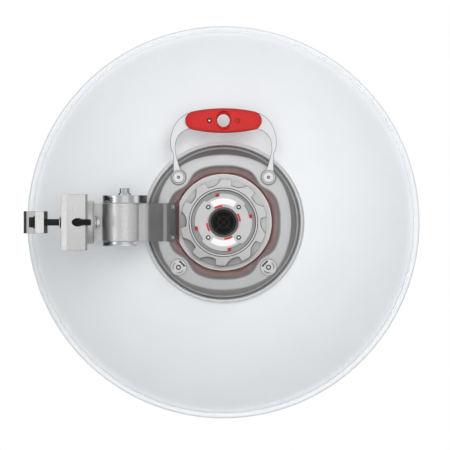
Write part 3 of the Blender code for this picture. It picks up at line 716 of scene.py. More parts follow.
def red_grip():
    """Red polymer with a moulded diagonal check on its crown, and plain ends and edges."""
    made = Finish("red_checked_grip", (0.66, 0.03, 0.03), 0.5, Specular_IOR_Level=0.25)
    pitch = 3.0
    first = ((made.x + made.z) * (math.pi / pitch)).math("SINE")
    second = ((made.x - made.z) * (math.pi / pitch)).math("SINE")
    check = (first * first) * (second * second)
    cloud = made.noise(12.0, 2.0)
    base = made.blend(cloud, (0.38, 0.006, 0.007), (0.45, 0.009, 0.010))
    made.set("Base Color", made.blend(check.smooth(0.1, 0.7), base, (0.88, 0.085, 0.075)))
    made.set("Roughness", check.smooth(0.1, 0.9, 0.52, 0.40))
    made.bump(check, 0.22, 0.8)
    return made.material


def red_paint():
    low, high = (0.56, 0.012, 0.016), (0.70, 0.022, 0.026)
    return clouded("red_mark", low, high, (3.0, 2.0), (0.4,))


def red_shade():
    low, high = (0.14, 0.005, 0.006), (0.20, 0.008, 0.009)
    return clouded("red_ring_dark", low, high, (3.0, 2.0), (0.5,))


def red_seal():
    low, high = (0.075, 0.040, 0.039), (0.11, 0.055, 0.054)
    return clouded("red_rubber_seal", low, high, (7.0, 3.0), (0.6,), (0.6, 2.0, 0.03, 0.4))


def black_rubber():
    made = Finish("black_rubber_plug", grey(0.012), 0.5, Specular_IOR_Level=0.08)
    cloud = made.noise(4.0, 3.0)
    plain = made.blend(cloud, grey(0.004), grey(0.008))
    # The raised tops of the ribs and the cross are a lighter grey.
    rib_tops = 1 - made.y.smooth(31.2, 31.7)
    made.set("Base Color", made.blend(rib_tops, plain, grey(0.030)))
    made.set("Roughness", cloud.smooth(0.3, 0.7, 0.42, 0.62))
    made.bump(made.noise(0.5, 2.0), 0.02, 0.4)
    return made.material


def dark_grey(name, shade):
    """A plain dark polymer of a shade."""
    low = (0.75 * shade, 0.75 * shade, 0.73 * shade)
    high = (1.25 * shade, 1.22 * shade, 1.18 * shade)
    return clouded(name, low, high, (3.0, 2.0), (0.5,))


def label_film():
    """Plain white film."""
    return clouded("blank_label", grey(0.80), grey(0.85), (4.0, 2.0), (0.35,))


def white_enamel():
    """The baked enamel of the bolt heads, with painted shade in the hex socket, paler at its middle."""
    made = Finish("white_enamel", grey(0.82), 0.35)
    cloud = made.noise(2.5, 2.0)
    across = (made.x - DISH_X).math("ABSOLUTE") - BOLT_OFFSET
    up = made.z - BOLT_OFFSET
    away = (across * across + up * up).math("SQRT")
    plain = made.blend(cloud, (0.64, 0.645, 0.65), (0.71, 0.715, 0.72))
    # Painted shade: dark in the hex socket, paler at its middle.
    socket = made.blend(away.smooth(0.7, 1.3), grey(0.42), grey(0.10))
    made.set("Base Color", made.blend(away.smooth(2.1, 2.7), socket, plain))
    made.set("Roughness", cloud.smooth(0.3, 0.7, 0.30, 0.42))
    return made.material


def feed_polymer():
    low, high = (0.78, 0.77, 0.73), (0.86, 0.85, 0.82)
    return clouded("feed_polymer", low, high, (14.0, 2.0), (0.4,), (1.0, 2.0, 0.02, 0.3))


WHITE = white_coat()
CAST = cast_metal("cast_aluminium", 0.92, 0.17)
ELBOW = cast_metal("elbow_aluminium", 0.86, 0.27)
ARM = cast_metal("arm_aluminium", 0.64, 0.30)
PAN = pan_metal()
BEAD = bright_bead()
ZINC = zinc()
STEEL = steel()
BLACK = black_oxide()
PORT = port_paint("port_grey", 0.88)
COLLAR = port_paint("collar_grey", 0.84)
# WELL is the darker grey of the sheet that paints the shade in the port's well.
WELL = port_paint("well_shade_grey", 0.50)
KNOB = port_paint("knob_grey", 0.92)
NYLON = white_nylon()
RED_GRIP = red_grip()
RED_PAINT = red_paint()
RED_SEAL = red_seal()
RED_DARK = red_shade()
RUBBER = black_rubber()
LINER = dark_grey("dark_grey_liner", 0.08)
CORD = dark_grey("grey_cord", 0.20)
LABEL = label_film()
ENAMEL = white_enamel()
FEED = feed_polymer()


# The dish

def make_reflector():
    """The bowl: a parabola turned round the axis, a flattened shoulder, a groove and a bead."""
    bead = (RIM_BEAD_RADIUS, dish_back(RIM_BEAD_RADIUS) - 3.2)
    radii = np.linspace(58.0, 275.0, 40)
    back = np.stack([radii, dish_back(radii)], -1)
    back[:3, 1] = dish_back(66.0)
    shoulder = [back[-1], (277.4, 176.9), (281.2, 178.9), (282.2, 181.6), (283.2, 182.0)]
    shoulder = rounded(shoulder, [0.0, 5.0, 1.6, 0.8, 0.0], 5, False)
    roll = arc(bead, RIM_BEAD_SIZE, 205.0, 450.0, 22)
    inside = np.stack([radii[::-1], dish_back(radii[::-1]) + SHELL], -1)
    lip = [(282.2, bead[1] + 3.4), (279.0, dish_back(279.0) + SHELL)]
    profile = joined(back, shoulder[1:], roll, lip, inside)
    add(
        "reflector_bowl", turned(without_repeats(profile, True), ROUND_POINTS),
        "dish", WHITE, "white_paint", "reflector",
    )


def recess_outline():
    """The recess's outline about the dish axis: its radius is a sum of cosines of 4 k t."""
    angle = angles(ROUND_POINTS)
    radius = sum(share * np.cos(4 * k * angle) for k, share in enumerate(RECESS_WAVES))
    return np.stack([radius * np.cos(angle), radius * np.sin(angle)], -1)


RECESS = recess_outline()
RECESS_ANGLE = angles(ROUND_POINTS)


def recess_row(inset, level, least=0.0):
    """The recess's outline drawn in, with no radius less than least, at a level."""
    outline = drawn_in(RECESS, inset)
    stretch = np.maximum(1.0, least / np.linalg.norm(outline, axis=1))[:, None]
    outline = outline * stretch
    return on_axis("Y", DISH_X + outline[:, 0], outline[:, 1], level)


def pan_circle(radius, level, bulge=0.0):
    """A row round the axis whose radius grows by bulge x |sin 2t| towards the four bolts."""
    grown = radius + bulge * np.abs(np.sin(2 * RECESS_ANGLE)) ** 2.4
    across = DISH_X + grown * np.cos(RECESS_ANGLE)
    return on_axis("Y", across, grown * np.sin(RECESS_ANGLE), level)


def make_pan():
    """The pan: rows of the recess's outline from the floor to the plateau, then circles."""
    wall = [(12.5, FLOOR_Y), (11.9, FLOOR_Y - 1.2), (1.0, PLATEAU_Y + 2.4), (-1.2, PLATEAU_Y)]
    recess = rounded(wall, [0.0, 2.0, 3.0, 0.0], 7, False)
    outer = [(PLATEAU_RADIUS - 3.0, PLATEAU_Y), (100.0, PLATEAU_Y + 0.5), (107.9, 56.6)]
    outer += [(108.4, 57.6), (111.1, 57.6), (111.7, dish_back(111.7) - 0.6)]
    outer = rounded(outer, [0.0, 2.4, 0.8, 0.5, 0.8, 0.0], 5, False)
    rows = [pan_circle(56.0, FLOOR_Y)]
    rows += [recess_row(inset, level, FLOOR_RADIUS) for inset, level in recess]
    bulges = PLATEAU_BULGE * np.clip((57.0 - outer[:, 1]) / (57.0 - PLATEAU_Y), 0.0, 1.0)
    rows += [pan_circle(radius, level, bulge) for (radius, level), bulge in zip(outer, bulges)]
    rows += [pan_circle(108.5, dish_back(108.5) - 0.6), pan_circle(102.6, 60.0)]
    rows += [pan_circle(PLATEAU_RADIUS - 1.0, PLATEAU_Y + 4.0), recess_row(-5.0, PLATEAU_Y + 4.0)]
    rows += [recess_row(-4.0, PLATEAU_Y + 5.5), recess_row(8.5, FLOOR_Y + 2.3, FLOOR_RADIUS + 3.8)]
    rows += [recess_row(10.5, FLOOR_Y + 4.0, FLOOR_RADIUS + 2.0), pan_circle(56.0, FLOOR_Y + 4.0)]
    add("pan_casting", np.stack(rows), "dish", PAN, "pan_aluminium", "back_pan", sharp=40.0)


def make_trim_ring():
    """A turned bead round the pan, and a thin dark grey ring inside it that paints the groove's shade.
    """
    profile = [(113.4, 66.0), (113.4, 62.6), (114.9, 61.2), (117.0, 61.2), (118.2, 62.8)]
    profile += [(119.4, 64.2), (119.4, 68.6)]
    add(
        "trim_ring_bead", turned(rounded(profile, 0.8, 5), ROUND_POINTS),
        "dish", BEAD, "pan_aluminium", "trim_ring",
    )
    # Painted shade: a dark grey ring fills the groove between the pan and the bead.
    cord = [(111.8, 66.4), (111.8, 62.6), (112.5, 61.9), (113.3, 62.6), (113.3, 66.4)]
    add("pan_groove_shade_ring", turned(cord, ROUND_POINTS), "dish", CORD, "black_plastic")


def make_front_ring():
    """A turned ring that clamps the bowl from its front."""
    seat = dish_back(84.0) + SHELL + 0.3
    flat = dish_back(106.0) + SHELL + 2.5
    inner = dish_back(66.0) + SHELL + 0.3
    profile = [(60.0, inner), (66.0, inner), (84.0, seat)]
    profile += [(106.0, dish_back(106.0) + SHELL + 0.3), (106.0, flat), (84.0, flat)]
    profile += [(80.0, flat - 5.0), (60.0, dish_back(66.0) + SHELL + 4.3)]
    add(
        "front_clamp_ring", turned(rounded(profile, 0.8, 3), 180),
        "dish", CAST, "cast_aluminium", "front_ring",
    )
    return flat


# The port

def make_seal():
    """The red rubber ring between the port's flange and the recess's floor."""
    low = FLOOR_Y - 0.2
    high = FLOOR_Y - 1.9
    near, far = 56.5, FLANGE_RADIUS + 0.6
    section = rounded([(near, low), (far, low), (far, high), (near, high)], 0.6, 3)
    add("port_seal", turned(section, 180), "dish", RED_SEAL, "red_rubber", "gasket", sharp=50.0)


def make_port_base():
    """The flange with one flat side: radius the lesser of R and F / -cos t, rounded at its edge."""
    angle = angles(ROUND_POINTS)
    round_part = np.minimum(FLANGE_RADIUS, FLANGE_FLAT / np.maximum(-np.cos(angle), 0.01))
    soft = np.convolve(np.tile(round_part, 3), np.ones(5) / 5, "same")[ROUND_POINTS : 2 * ROUND_POINTS]
    under = FLOOR_Y - 2.1
    section = [(19.0, WELL_Y), (WELL_RADIUS + 0.9, WELL_Y), (WELL_RADIUS + 0.9, COLLAR_TOP_Y)]
    section += [(NECK_RADIUS, COLLAR_TOP_Y), (NECK_RADIUS, FLANGE_Y)]
    section = rounded(section, [0.0, 0.8, 0.5, 0.5, 0.0], 4, False)
    rows = list(section)
    edge = 3.0
    for t in np.linspace(0.0, np.pi / 2, 7):
        rows.append((soft - edge * (1 - np.sin(t)), FLANGE_Y + edge * (1 - np.cos(t))))
    rows += [(soft, under - 0.4), (soft - 0.4, under)]
    rows += [(55.0, under), (55.0, 57.0), (45.0, 61.0), (19.0, 61.0)]
    add("port_base_flange", turned_rows(rows, angle), "dish", PORT, "port_grey", "port_base")


def pocket_edge(turn):
    """The inner edge of a collar pocket: turn is the angle clockwise from its radial wall.

    It bulges inwards in an arc, then climbs to the collar's edge.
    """
    knots = [0.0, 2.0, 5.0, 8.0, 12.0, 15.0, 18.0, 20.5, 22.6]
    reach = [57.4, 56.3, 55.7, 55.5, 55.9, 57.0, 59.1, 61.6, COLLAR_RADIUS]
    return np.interp(turn, knots, reach)


def make_lock_collar():
    """A ring with ten saw-tooth pockets whose floors fall outwards."""
    step = 360.0 / POCKETS
    turn = np.concatenate([[0.0, 1.3], np.linspace(1.7, 25.0, 26), np.linspace(26.5, 35.6, 8)])
    edge = pocket_edge(turn)
    edge[0] = COLLAR_RADIUS
    wall = 7.7 + step * np.arange(POCKETS)
    angle = np.radians(wall[:, None] - turn[None, ::-1]).reshape(-1)
    radius = np.tile(edge[::-1], POCKETS)
    top = COLLAR_TOP_Y
    low = COLLAR_LOW_Y
    deep = COLLAR_RADIUS - radius
    floor_in = np.where(deep > 0.3, top + 4.4, low - 1.4)
    floor_out = low - 1.0
    rows = [
        (NECK_RADIUS + 0.9, low),
        (NECK_RADIUS + 0.9, top + 0.3),
        (NECK_RADIUS + 1.2, top),
        (53.0, top),
        (radius - 1.2, top),
        (radius - 1.0, top + 0.3),
        (radius - 0.1, top + 1.0),
        (radius, top + 1.6),
        (radius, floor_in),
        (radius + deep * 0.12, floor_in + 0.25),
        (radius + deep * 0.5, floor_in * 0.55 + floor_out * 0.45),
        (radius + deep * 0.95, floor_out),
        (COLLAR_RADIUS, floor_out + 0.4),
        (COLLAR_RADIUS + 0.2, low - 0.3),
        (COLLAR_RADIUS - 0.3, low),
    ]
    add(
        "lock_collar_ring", turned_rows(rows, angle),
        "collar", COLLAR, "port_grey", "lock_collar", sharp=38.0,
    )


def make_port_plate():
    """The inner plate: its edge steps in to four bayonet notches with one slanting end."""
    angle = angles(720)
    part = np.degrees(angle) % 90.0
    notch = np.clip((part - 13.6) / 0.6, 0.0, 1.0) * np.clip((42.0 - part) / 4.0, 0.0, 1.0)
    edge = PLATE_RADIUS - (PLATE_RADIUS - NOTCH_RADIUS) * (3 * notch**2 - 2 * notch**3)
    bore = PLUG_RADIUS + 0.3
    back = WELL_Y - 0.3
    rows = [
        (bore, back),
        (edge, back - 0.1),
        (edge, PLATE_Y + 0.7),
        (edge - 0.2, PLATE_Y + 0.2),
        (edge - 0.7, PLATE_Y),
        (32.0, PLATE_Y),
        (22.6, PLATE_Y),
        (22.45, PLATE_Y + 1.3),
        (bore, PLATE_Y + 3.3),
    ]
    add("port_inner_plate", turned_rows(rows, angle), "dish", PORT, "port_grey", "port_plate")
    # Painted shade: a thin dark grey sheet lies on the well's floor, for the shade in the well.
    floor = [(PLATE_RADIUS - 6.0, WELL_Y - 0.1), (PLATE_RADIUS - 6.0, WELL_Y - 0.25)]
    floor += [(WELL_RADIUS - 0.6, WELL_Y - 0.25), (WELL_RADIUS - 0.6, WELL_Y - 0.1)]
    add("port_well_shade_sheet", turned(floor, 120), "dish", WELL, "port_grey")
    gap = [(50.35, 36.0), (50.35, 33.4), (51.05, 33.4), (51.05, 36.0)]
    add("collar_gap_seal", turned(gap, 120), "dish", RUBBER, "port_grey")
    lip = [(47.1, WELL_Y - 0.2), (47.1, 33.0), (47.4, 32.4), (47.8, 33.2), (47.8, WELL_Y - 0.2)]
    add("port_well_seal", turned(lip, 120), "dish", LINER, "port_grey")
    liner = [(bore, PLATE_Y + 0.6), (19.6, PLATE_Y - 0.2), (21.6, PLATE_Y - 0.15)]
    liner += [(22.3, PLATE_Y + 0.3), (22.2, PLATE_Y + 0.6), (bore, PLATE_Y + 2.9)]
    add("port_bore_liner", turned(liner, 120), "dish", LINER, "port_grey")


def sector(inner, outer, start, end, low, high, edge=0.25, steps=24, centre=DISH_CENTRE):
    """Rows of a thin plate between two arcs, its corners and its near edge rounded."""
    far = arc((0.0, 0.0), outer, start, end, steps)
    near = arc((0.0, 0.0), inner, end, start, steps)
    radii = np.zeros(len(far) + len(near))
    radii[[0, len(far) - 1, len(far), -1]] = (outer - inner) * 0.2
    outline = rounded(joined(far, near), radii, 4)
    outline = outline + np.array(centre)
    return slab(outline, low, high, "Y", edge, 2)


def make_labels():
    """Two blank labels on the plate, above and below the plug."""
    for name, middle in (("upper", 90.0), ("lower", -90.0)):
        rows = sector(26.8, 35.6, middle - 33.0, middle + 33.0, PLATE_Y - 0.16, PLATE_Y + 0.1, 0.06)
        add(f"blank_label_{name}", rows, "dish", LABEL, "white_plastic", ends="capped")


def make_red_marks():
    """Four raised red arcs beside the plug, a thin line trailing from each, and four lugs."""
    for number in range(4):
        turn = 90.0 * number
        rows = sector(23.1, 25.8, turn + 2.5, turn + 32.0, PLATE_Y - 0.5, PLATE_Y + 0.1, 0.35)
        add(f"red_arc_{number + 1}", rows, "dish", RED_PAINT, "red_plastic", ends="capped")
        t = np.linspace(0.0, 1.0, 24)
        angle = np.radians(turn - 2.0 - 38.0 * t)
        middle = 24.5 - 2.0 * t**1.3
        half = 0.28 * (1 - 0.5 * t)
        outline = np.concatenate([middle + half, (middle - half)[::-1]])
        spin = np.concatenate([angle, angle[::-1]])
        line = np.stack([DISH_X + outline * np.cos(spin), outline * np.sin(spin)], -1)
        rows = slab(line, PLATE_Y - 0.2, PLATE_Y + 0.1, "Y", 0.08, 2)
        add(f"red_line_{number + 1}", rows, "dish", RED_PAINT, "red_plastic", ends="capped")
        rows = sector(38.7, 43.1, turn + 8.6, turn + 16.0, PLATE_Y - 0.9, WELL_Y - 0.4, 0.8, 8)
        add(f"red_lug_{number + 1}", rows, "dish", RED_PAINT, "red_plastic", ends="capped")


def make_port_screws():
    """Four screws: a dark cup round a bright pin."""
    offset = PORT_SCREW_OFFSET
    spots = [(DISH_X + a, b) for a in (-offset, offset) for b in (-offset, offset)]
    cup = [(0.4, 36.2), (3.1, 36.2), (3.4, PLATE_Y - 0.5), (3.1, PLATE_Y - 0.9), (2.4, PLATE_Y - 0.9)]
    cup += [(1.7, PLATE_Y + 0.2), (0.4, PLATE_Y + 0.3)]
    pin = [(0.05, PLATE_Y - 0.75), (0.7, PLATE_Y - 0.65), (1.25, PLATE_Y - 0.2), (1.4, PLATE_Y + 1.0)]
    for number, spot in enumerate(spots, 1):
        add(
            f"port_screw_cup_{number}", turned(cup, 32, "Y", spot),
            "dish", BLACK, "steel", f"port_screw_{number}",
        )
        add(
            f"port_screw_pin_{number}", turned(pin, 24, "Y", spot),
            "dish", LABEL, "steel", ends="capped",
        )


def ridge(distance, half_width):
    """One on a line, falling as a raised cosine to nothing at half_width from it."""
    return 0.5 + 0.5 * np.cos(np.pi * np.clip(np.abs(distance) / half_width, 0.0, 1.0))


def make_plug():
    """The plug: a disc whose level is a height field of two ring ribs and a cross."""
    angle = angles(ROUND_POINTS)
    radius = np.concatenate([np.linspace(0.02, 17.4, 62), [17.9, 18.25, PLUG_RADIUS, PLUG_RADIUS]])
    grid_radius = radius[:, None] * np.ones(ROUND_POINTS)
    across = grid_radius * np.cos(angle)
    up = grid_radius * np.sin(angle)
    to_cross = np.minimum(np.abs(across - up), np.abs(across + up)) / math.sqrt(2)
    cross = ridge(to_cross, 1.1) * (grid_radius < 16.6)
    rings = np.maximum(ridge(grid_radius - 16.4, 1.5), ridge(grid_radius - 8.4, 1.3))
    level = 32.0 - 0.9 * np.maximum(rings, cross)
    level[-4:] = np.array([31.6, 31.9, 32.6, WELL_Y])[:, None]
    rows = on_axis("Y", DISH_X + across, up, level)
    add("port_plug_cap", rows, "dish", RUBBER, "black_plastic", "port_plug", ends="capped")


# The bolts through the pan

def socket_rows(spot, head, socket_size, depth, count=72):
    """Rows of a turned head whose middle sinks into a hexagonal socket."""
    angle, hex_radius = hexagon(socket_size, corner=0.1)
    outer = turned(head, count, "Y", spot)
    rim_level = head[-1][1]
    sink = [(hex_radius, rim_level), (hex_radius * 0.98, rim_level + depth)]
    return np.concatenate([outer, turned_rows(sink, angle, "Y", spot)])


def make_handle_bolts():
    """Turned heads with a hexagonal socket, each on a washer, with a dark ring under it that paints the
    shade round the washer.
    """
    for side, sign in SIDES:
        spot = (DISH_X + sign * BOLT_OFFSET, BOLT_OFFSET)
        head = [(BOLT_RADIUS, BOLT_END_Y), (BOLT_RADIUS, BAIL_NEAR - 0.3), (6.9, BAIL_NEAR - 0.3)]
        crown = [(7.7, BAIL_NEAR - 0.3), (7.7, 24.7), (6.9, 24.1), (6.4, 24.1), (6.4, 24.8)]
        crown += [(6.0, 24.8), (6.0, 24.0), (5.6, 23.7), (3.6, 23.7)]
        rows = socket_rows(spot, head + crown, 5.2, 2.4)
        add(
            f"handle_bolt_{side}_head", rows,
            "dish", ENAMEL, "steel", f"handle_bolt_{side}", ends="capped",
        )
        ring = rounded([(8.4, BAIL_NEAR), (8.4, 26.9), (10.3, 26.9), (10.3, BAIL_NEAR)], 0.3, 3)
        add(f"eye_washer_{side}", turned(ring, 72, "Y", spot), "dish", COLLAR, "steel")
        # Painted shade: a dark ring under the washer shows as dark lines round it and round the head.
        shade = [(7.9, BAIL_NEAR + 0.1), (7.9, 27.45), (10.9, 27.45), (10.9, BAIL_NEAR + 0.1)]
        add(f"eye_shade_ring_{side}", turned(shade, 72, "Y", spot), "dish", LINER, "steel")


def make_knobs():
    """Domed discs with three sunk segments round a centre hole."""
    angle = angles(144)
    for side, sign in SIDES:
        spot = (DISH_X + sign * BOLT_OFFSET, -BOLT_OFFSET)
        facing = math.atan2(BOLT_OFFSET, -sign * BOLT_OFFSET)
        radius = np.concatenate([[0.02, 1.5, 1.85, 2.0, 3.8, 3.95, 4.2], np.linspace(4.6, 11.2, 34)])
        grid = radius[:, None] * np.ones(144)
        across = grid * np.cos(angle)
        up = grid * np.sin(angle)
        level = 25.2 + 2.6 * (grid / 12.2) ** 3
        level = np.where((grid > 1.9) & (grid < 3.9), 28.6, level)
        for number in range(3):
            aim = facing + number * 2 * math.pi / 3
            out = across * math.cos(aim) + up * math.sin(aim)
            aside = -across * math.sin(aim) + up * math.cos(aim)
            if number == 0:
                near = np.abs(out - 7.6) < 1.1
                level = np.where(near & (np.abs(aside) < 5.4), level + 3.2, level)
            else:
                near = np.abs(grid - 8.4) < 1.3
                level = np.where(near & (np.abs(aside) < 4.8) & (out > 0), level + 1.1, level)
        rim = rounded([(11.5, 27.3), (12.2, 28.2), (12.2, PLATEAU_Y - 0.3)], 0.5, 3, False)
        stem = [(BOLT_RADIUS, PLATEAU_Y - 0.3), (BOLT_RADIUS, BOLT_END_Y)]
        rows = np.concatenate(
            [on_axis("Y", spot[0] + across, spot[1] + up, level), turned([*rim, *stem], 144, "Y", spot)]
        )
        add(
            f"knob_{side}_head", rows,
            "dish", KNOB, "zinc_steel", f"knob_{side}", ends="capped", sharp=45.0,
        )
        line = [(11.7, 28.4), (11.7, 27.35), (12.3, 27.35), (12.3, 28.4)]
        add(f"knob_{side}_rim_line", turned(line, 96, "Y", spot), "dish", CORD, "zinc_steel")
        for number, turn in enumerate((112.0, -112.0), 1):
            aim_at = math.degrees(facing) + turn
            rows = sector(7.7, 8.5, aim_at - 34.0, aim_at + 34.0, 25.75, 26.6, 0.1, 16, spot)
            add(f"knob_{side}_arc_{number}", rows, "dish", CORD, "zinc_steel", ends="capped")
        cup = [(1.5, 28.5), (1.5, 26.4), (3.95, 26.4), (3.95, 28.5)]
        add(f"knob_{side}_cup", turned(cup, 48, "Y", spot), "dish", LINER, "zinc_steel")
        out = np.array([math.cos(facing), math.sin(facing)])
        aside = np.array([-out[1], out[0]])
        for number in range(5):
            middle = (number - 2) * 2.2
            low, high = middle - 0.55, middle + 0.55
            corners = [(5.9, low), (9.3, low), (9.3, high), (5.9, high)]
            bar = np.array([out * a + aside * b for a, b in corners]) + np.array(spot)
            rows = slab(rounded(bar, 0.3, 3), 25.7, 28.2, "Y", 0.2, 2)
            add(f"knob_{side}_slot_{number + 1}", rows, "dish", RUBBER, "zinc_steel", ends="capped")


def make_front_nuts(seat):
    """Hexagonal nuts: rows between a round bore and flats cut off by a round chamfer."""
    angle, radius = hexagon(13.0)
    low = seat + 0.3
    high = low + 5.0
    bore = BOLT_RADIUS + 0.3
    chamfer = np.minimum(radius, 6.7)
    rows = [(bore, low), (chamfer, low), (radius, low + 0.4), (radius, high - 0.4)]
    rows += [(chamfer, high), (bore, high)]
    for level, sign_z in (("upper", 1), ("lower", -1)):
        for side, sign_x in SIDES:
            spot = (DISH_X + sign_x * BOLT_OFFSET, sign_z * BOLT_OFFSET)
            add(
                f"front_hex_nut_{level}_{side}", turned_rows(rows, angle, "Y", spot),
                "dish", STEEL, "steel", f"front_nut_{level}_{side}",
            )


# The handle

def make_bail():
    """The flat bail: one smooth outline about its middle, its edges rounded, and its holes cut."""
    eye = (BOLT_OFFSET, BOLT_OFFSET)
    outer = [(40.0, 163.5), (54.2, 160.9), (68.6, 149.4), (76.4, 133.5), (78.7, 119.7), (77.6, 107.6)]
    waist = [(74.6, 101.6), (74.2, 94.0), (74.3, 84.0)]
    inner = [(65.2, 82.5), (69.0, 96.0), (71.2, 108.6), (69.0, 123.0), (61.6, 132.9), (51.6, 137.6)]
    inner += [(40.0, 139.2)]
    right = joined(
        [(0.0, 165.5)],
        smooth_line(outer, 4),
        waist,
        arc(eye, EYE_RADIUS, 50.0, -252.0, 44),
        smooth_line(inner, 4),
        [(0.0, 138.5)],
    )
    left = right[-2:0:-1] * np.array([-1.0, 1.0])
    outline = without_repeats(joined(right, left), True) + np.array([DISH_X, 0.0])
    piece = skin("bail_strap", slab(outline, BAIL_NEAR, BAIL_FAR, "Y", 1.5, 5), ends="capped")
    eyes = [(DISH_X + side * BOLT_OFFSET, BOLT_OFFSET) for side in (-1, 1)]
    carve(
        piece,
        bars("eyes", eyes, BOLT_RADIUS + 0.4, 10, 50, "Y"),
        bars("hand_hole", [(DISH_X, GRIP_Z)], GRIP_HOLE_RADIUS + 1.0, 10, 50, "Y"),
    )
    even_normals(piece)
    dress(piece, "dish", NYLON, "white_plastic", "handle_bail")


def grip_outline():
    """Two shallow arcs that run smoothly into two round ends, about the grip's centre."""
    flat = GRIP_HALF_LENGTH - GRIP_END_RADIUS
    bow = flat**2 + GRIP_HALF_HEIGHT**2 - GRIP_END_RADIUS**2
    bow /= 2 * (GRIP_HALF_HEIGHT - GRIP_END_RADIUS)
    half = math.degrees(math.atan(flat / (bow - GRIP_HALF_HEIGHT)))
    top = arc((0.0, GRIP_HALF_HEIGHT - bow), bow, 90.0 - half, 90.0 + half, 60)
    end = arc((-flat, 0.0), GRIP_END_RADIUS, 90.0 + half, 270.0 - half, 36)
    upper = joined(top, end[1:])
    return np.concatenate([upper, -upper[1:-1]])


def make_grip_half(name, seat, face, node):
    """One half of the grip, a height field between the hole and the outline.

    The level is seat + (face - seat) x crown, where the crown is a quarter ellipse in the share
    of the way out to the edge, less a scoop across the hole and a small rim round it.
    """
    outline = grip_outline()
    spin = np.arctan2(outline[:, 1], outline[:, 0])
    hole = GRIP_HOLE_RADIUS * np.stack([np.cos(spin), np.sin(spin)], -1)
    shoulder = 0.7 + 0.3 * np.sin(np.linspace(0, 1.5708, 18))
    share = np.concatenate([np.linspace(0.0, 0.7, 26)[:-1], shoulder])
    spots = hole[None] + (outline - hole)[None] * share[:, None, None]
    x, z = spots[..., 0], spots[..., 1]
    away = np.clip((share - 0.45) / 0.55, 0.0, 1.0)[:, None]
    crown = np.sqrt(np.clip(1.0 - (away * 0.985) ** 2.6, 0.0, 1.0))
    length = 1.0 - 0.12 * (x / GRIP_HALF_LENGTH) ** 2
    oval = np.sqrt((x / 11.2) ** 2 + (z / 15.6) ** 2)
    dip = np.clip((1.0 - oval) / 0.26, 0.0, 1.0)
    dip = dip**2 * (3 - 2 * dip)
    height = crown * length * (1.0 - 0.80 * dip)
    near = seat + (face - seat) * height
    low = np.full(len(outline), seat)
    rows = [on_axis("Y", DISH_X + hole[:, 0], GRIP_Z + hole[:, 1], low)]
    rows += [on_axis("Y", DISH_X + x[i], GRIP_Z + z[i], near[i]) for i in range(len(share))]
    rows += [on_axis("Y", DISH_X + outline[:, 0], GRIP_Z + outline[:, 1], low)]
    add(name, np.stack(rows), "dish", RED_GRIP, "red_plastic", node, sharp=50.0)


def make_grip():
    """Both halves, a screw of a dark cup round a pin, and a moulded ring."""
    make_grip_half("grip_near_half", BAIL_NEAR - 0.3, GRIP_NEAR_Y, "grip_outer")
    make_grip_half("grip_far_half", BAIL_FAR + 0.3, GRIP_FAR_Y, "grip_inner")
    spot = (DISH_X - GRIP_SCREW_X, GRIP_Z)
    cup = [(0.4, 20.0), (3.0, 20.0), (3.5, 16.9), (3.2, 16.3), (2.5, 16.3), (1.8, 17.3), (0.4, 17.4)]
    add("grip_screw_cup", turned(cup, 32, "Y", spot), "dish", BLACK, "steel", "grip_screw")
    pin = [(0.05, 16.2), (0.8, 16.3), (1.4, 16.8), (1.6, 18.0)]
    add("grip_screw_pin", turned(pin, 24, "Y", spot), "dish", LABEL, "steel", ends="capped")
    spot = (DISH_X + GRIP_SCREW_X, GRIP_Z)
    ring = rounded([(2.6, 18.8), (2.6, 16.1), (3.5, 16.1), (3.5, 18.8)], 0.4, 4)
    add("grip_boss_ring", turned(ring, 48, "Y", spot), "dish", RED_DARK, "red_plastic")


# The clamp

def mirrored(half):
    """A half outline and its mirror image across Y = 0."""
    half = np.asarray(half, float)
    return joined(half, half[::-1] * np.array([1.0, -1.0]))


def make_clamp_block():
    """The block: a mirrored outline along Z, with holes for the rods and the pivot."""
    half = [(0.0, -10.0), (-15.0, -32.0), (-15.0, -55.3), (-6.5, -55.3), (20.9, -36.1)]
    half += [(BLOCK_FACE_X, -33.0)]
    outline = rounded(mirrored(half), 0.9, 3)
    rows = slab(outline, -BLOCK_HALF_HEIGHT, BLOCK_HALF_HEIGHT)
    piece = skin("clamp_block_casting", rows, ends="capped")
    carve(
        piece,
        bars("rods", RODS, ROD_HOLE_RADIUS, -30, 40, "X"),
        bars("pivot", [(0.0, 0.0)], PIVOT_BORE, 4.5, 40, "X"),
    )
    even_normals(piece)
    dress(piece, "clamp", CAST, "cast_aluminium", "clamp_block")


def make_outer_jaw():
    """The jaw: a mirrored outline along Z, with a hole for each rod."""
    half = [(-48.0, 12.0), (-34.7, 32.0), (-34.7, 38.0), (-40.5, 55.0), (JAW_SEAT_X, 55.0)]
    half += [(JAW_SEAT_X, 34.0), (-66.0, 22.0), (-70.2, 16.0)]
    outline = rounded(mirrored(half), 0.7, 3)
    rows = slab(outline, -JAW_HALF_HEIGHT, JAW_HALF_HEIGHT, "Z", 0.8)
    piece = skin("outer_jaw_casting", rows, ends="capped")
    carve(piece, bars("rods", RODS, PIVOT_BORE, -80, -20, "X"))
    even_normals(piece)
    dress(piece, "jaw", CAST, "cast_aluminium", "outer_jaw")


def thread_rows(centre, radius, pitch, depth, low, high, axis="X", count=40):
    """Rows of a screw thread: the radius less depth x a triangle wave of level / pitch + turn."""
    levels = np.arange(low, high, pitch / 8)
    angle = angles(count)
    phase = (levels[:, None] / pitch + angle[None, :] / (2 * np.pi)) % 1.0
    wave = np.abs(2 * phase - 1.0)
    fade = np.clip(np.minimum(levels - low, high - levels) / pitch, 0.0, 1.0)[:, None]
    return turned_rows(zip(radius - depth * wave * fade, levels), angle, axis, centre)


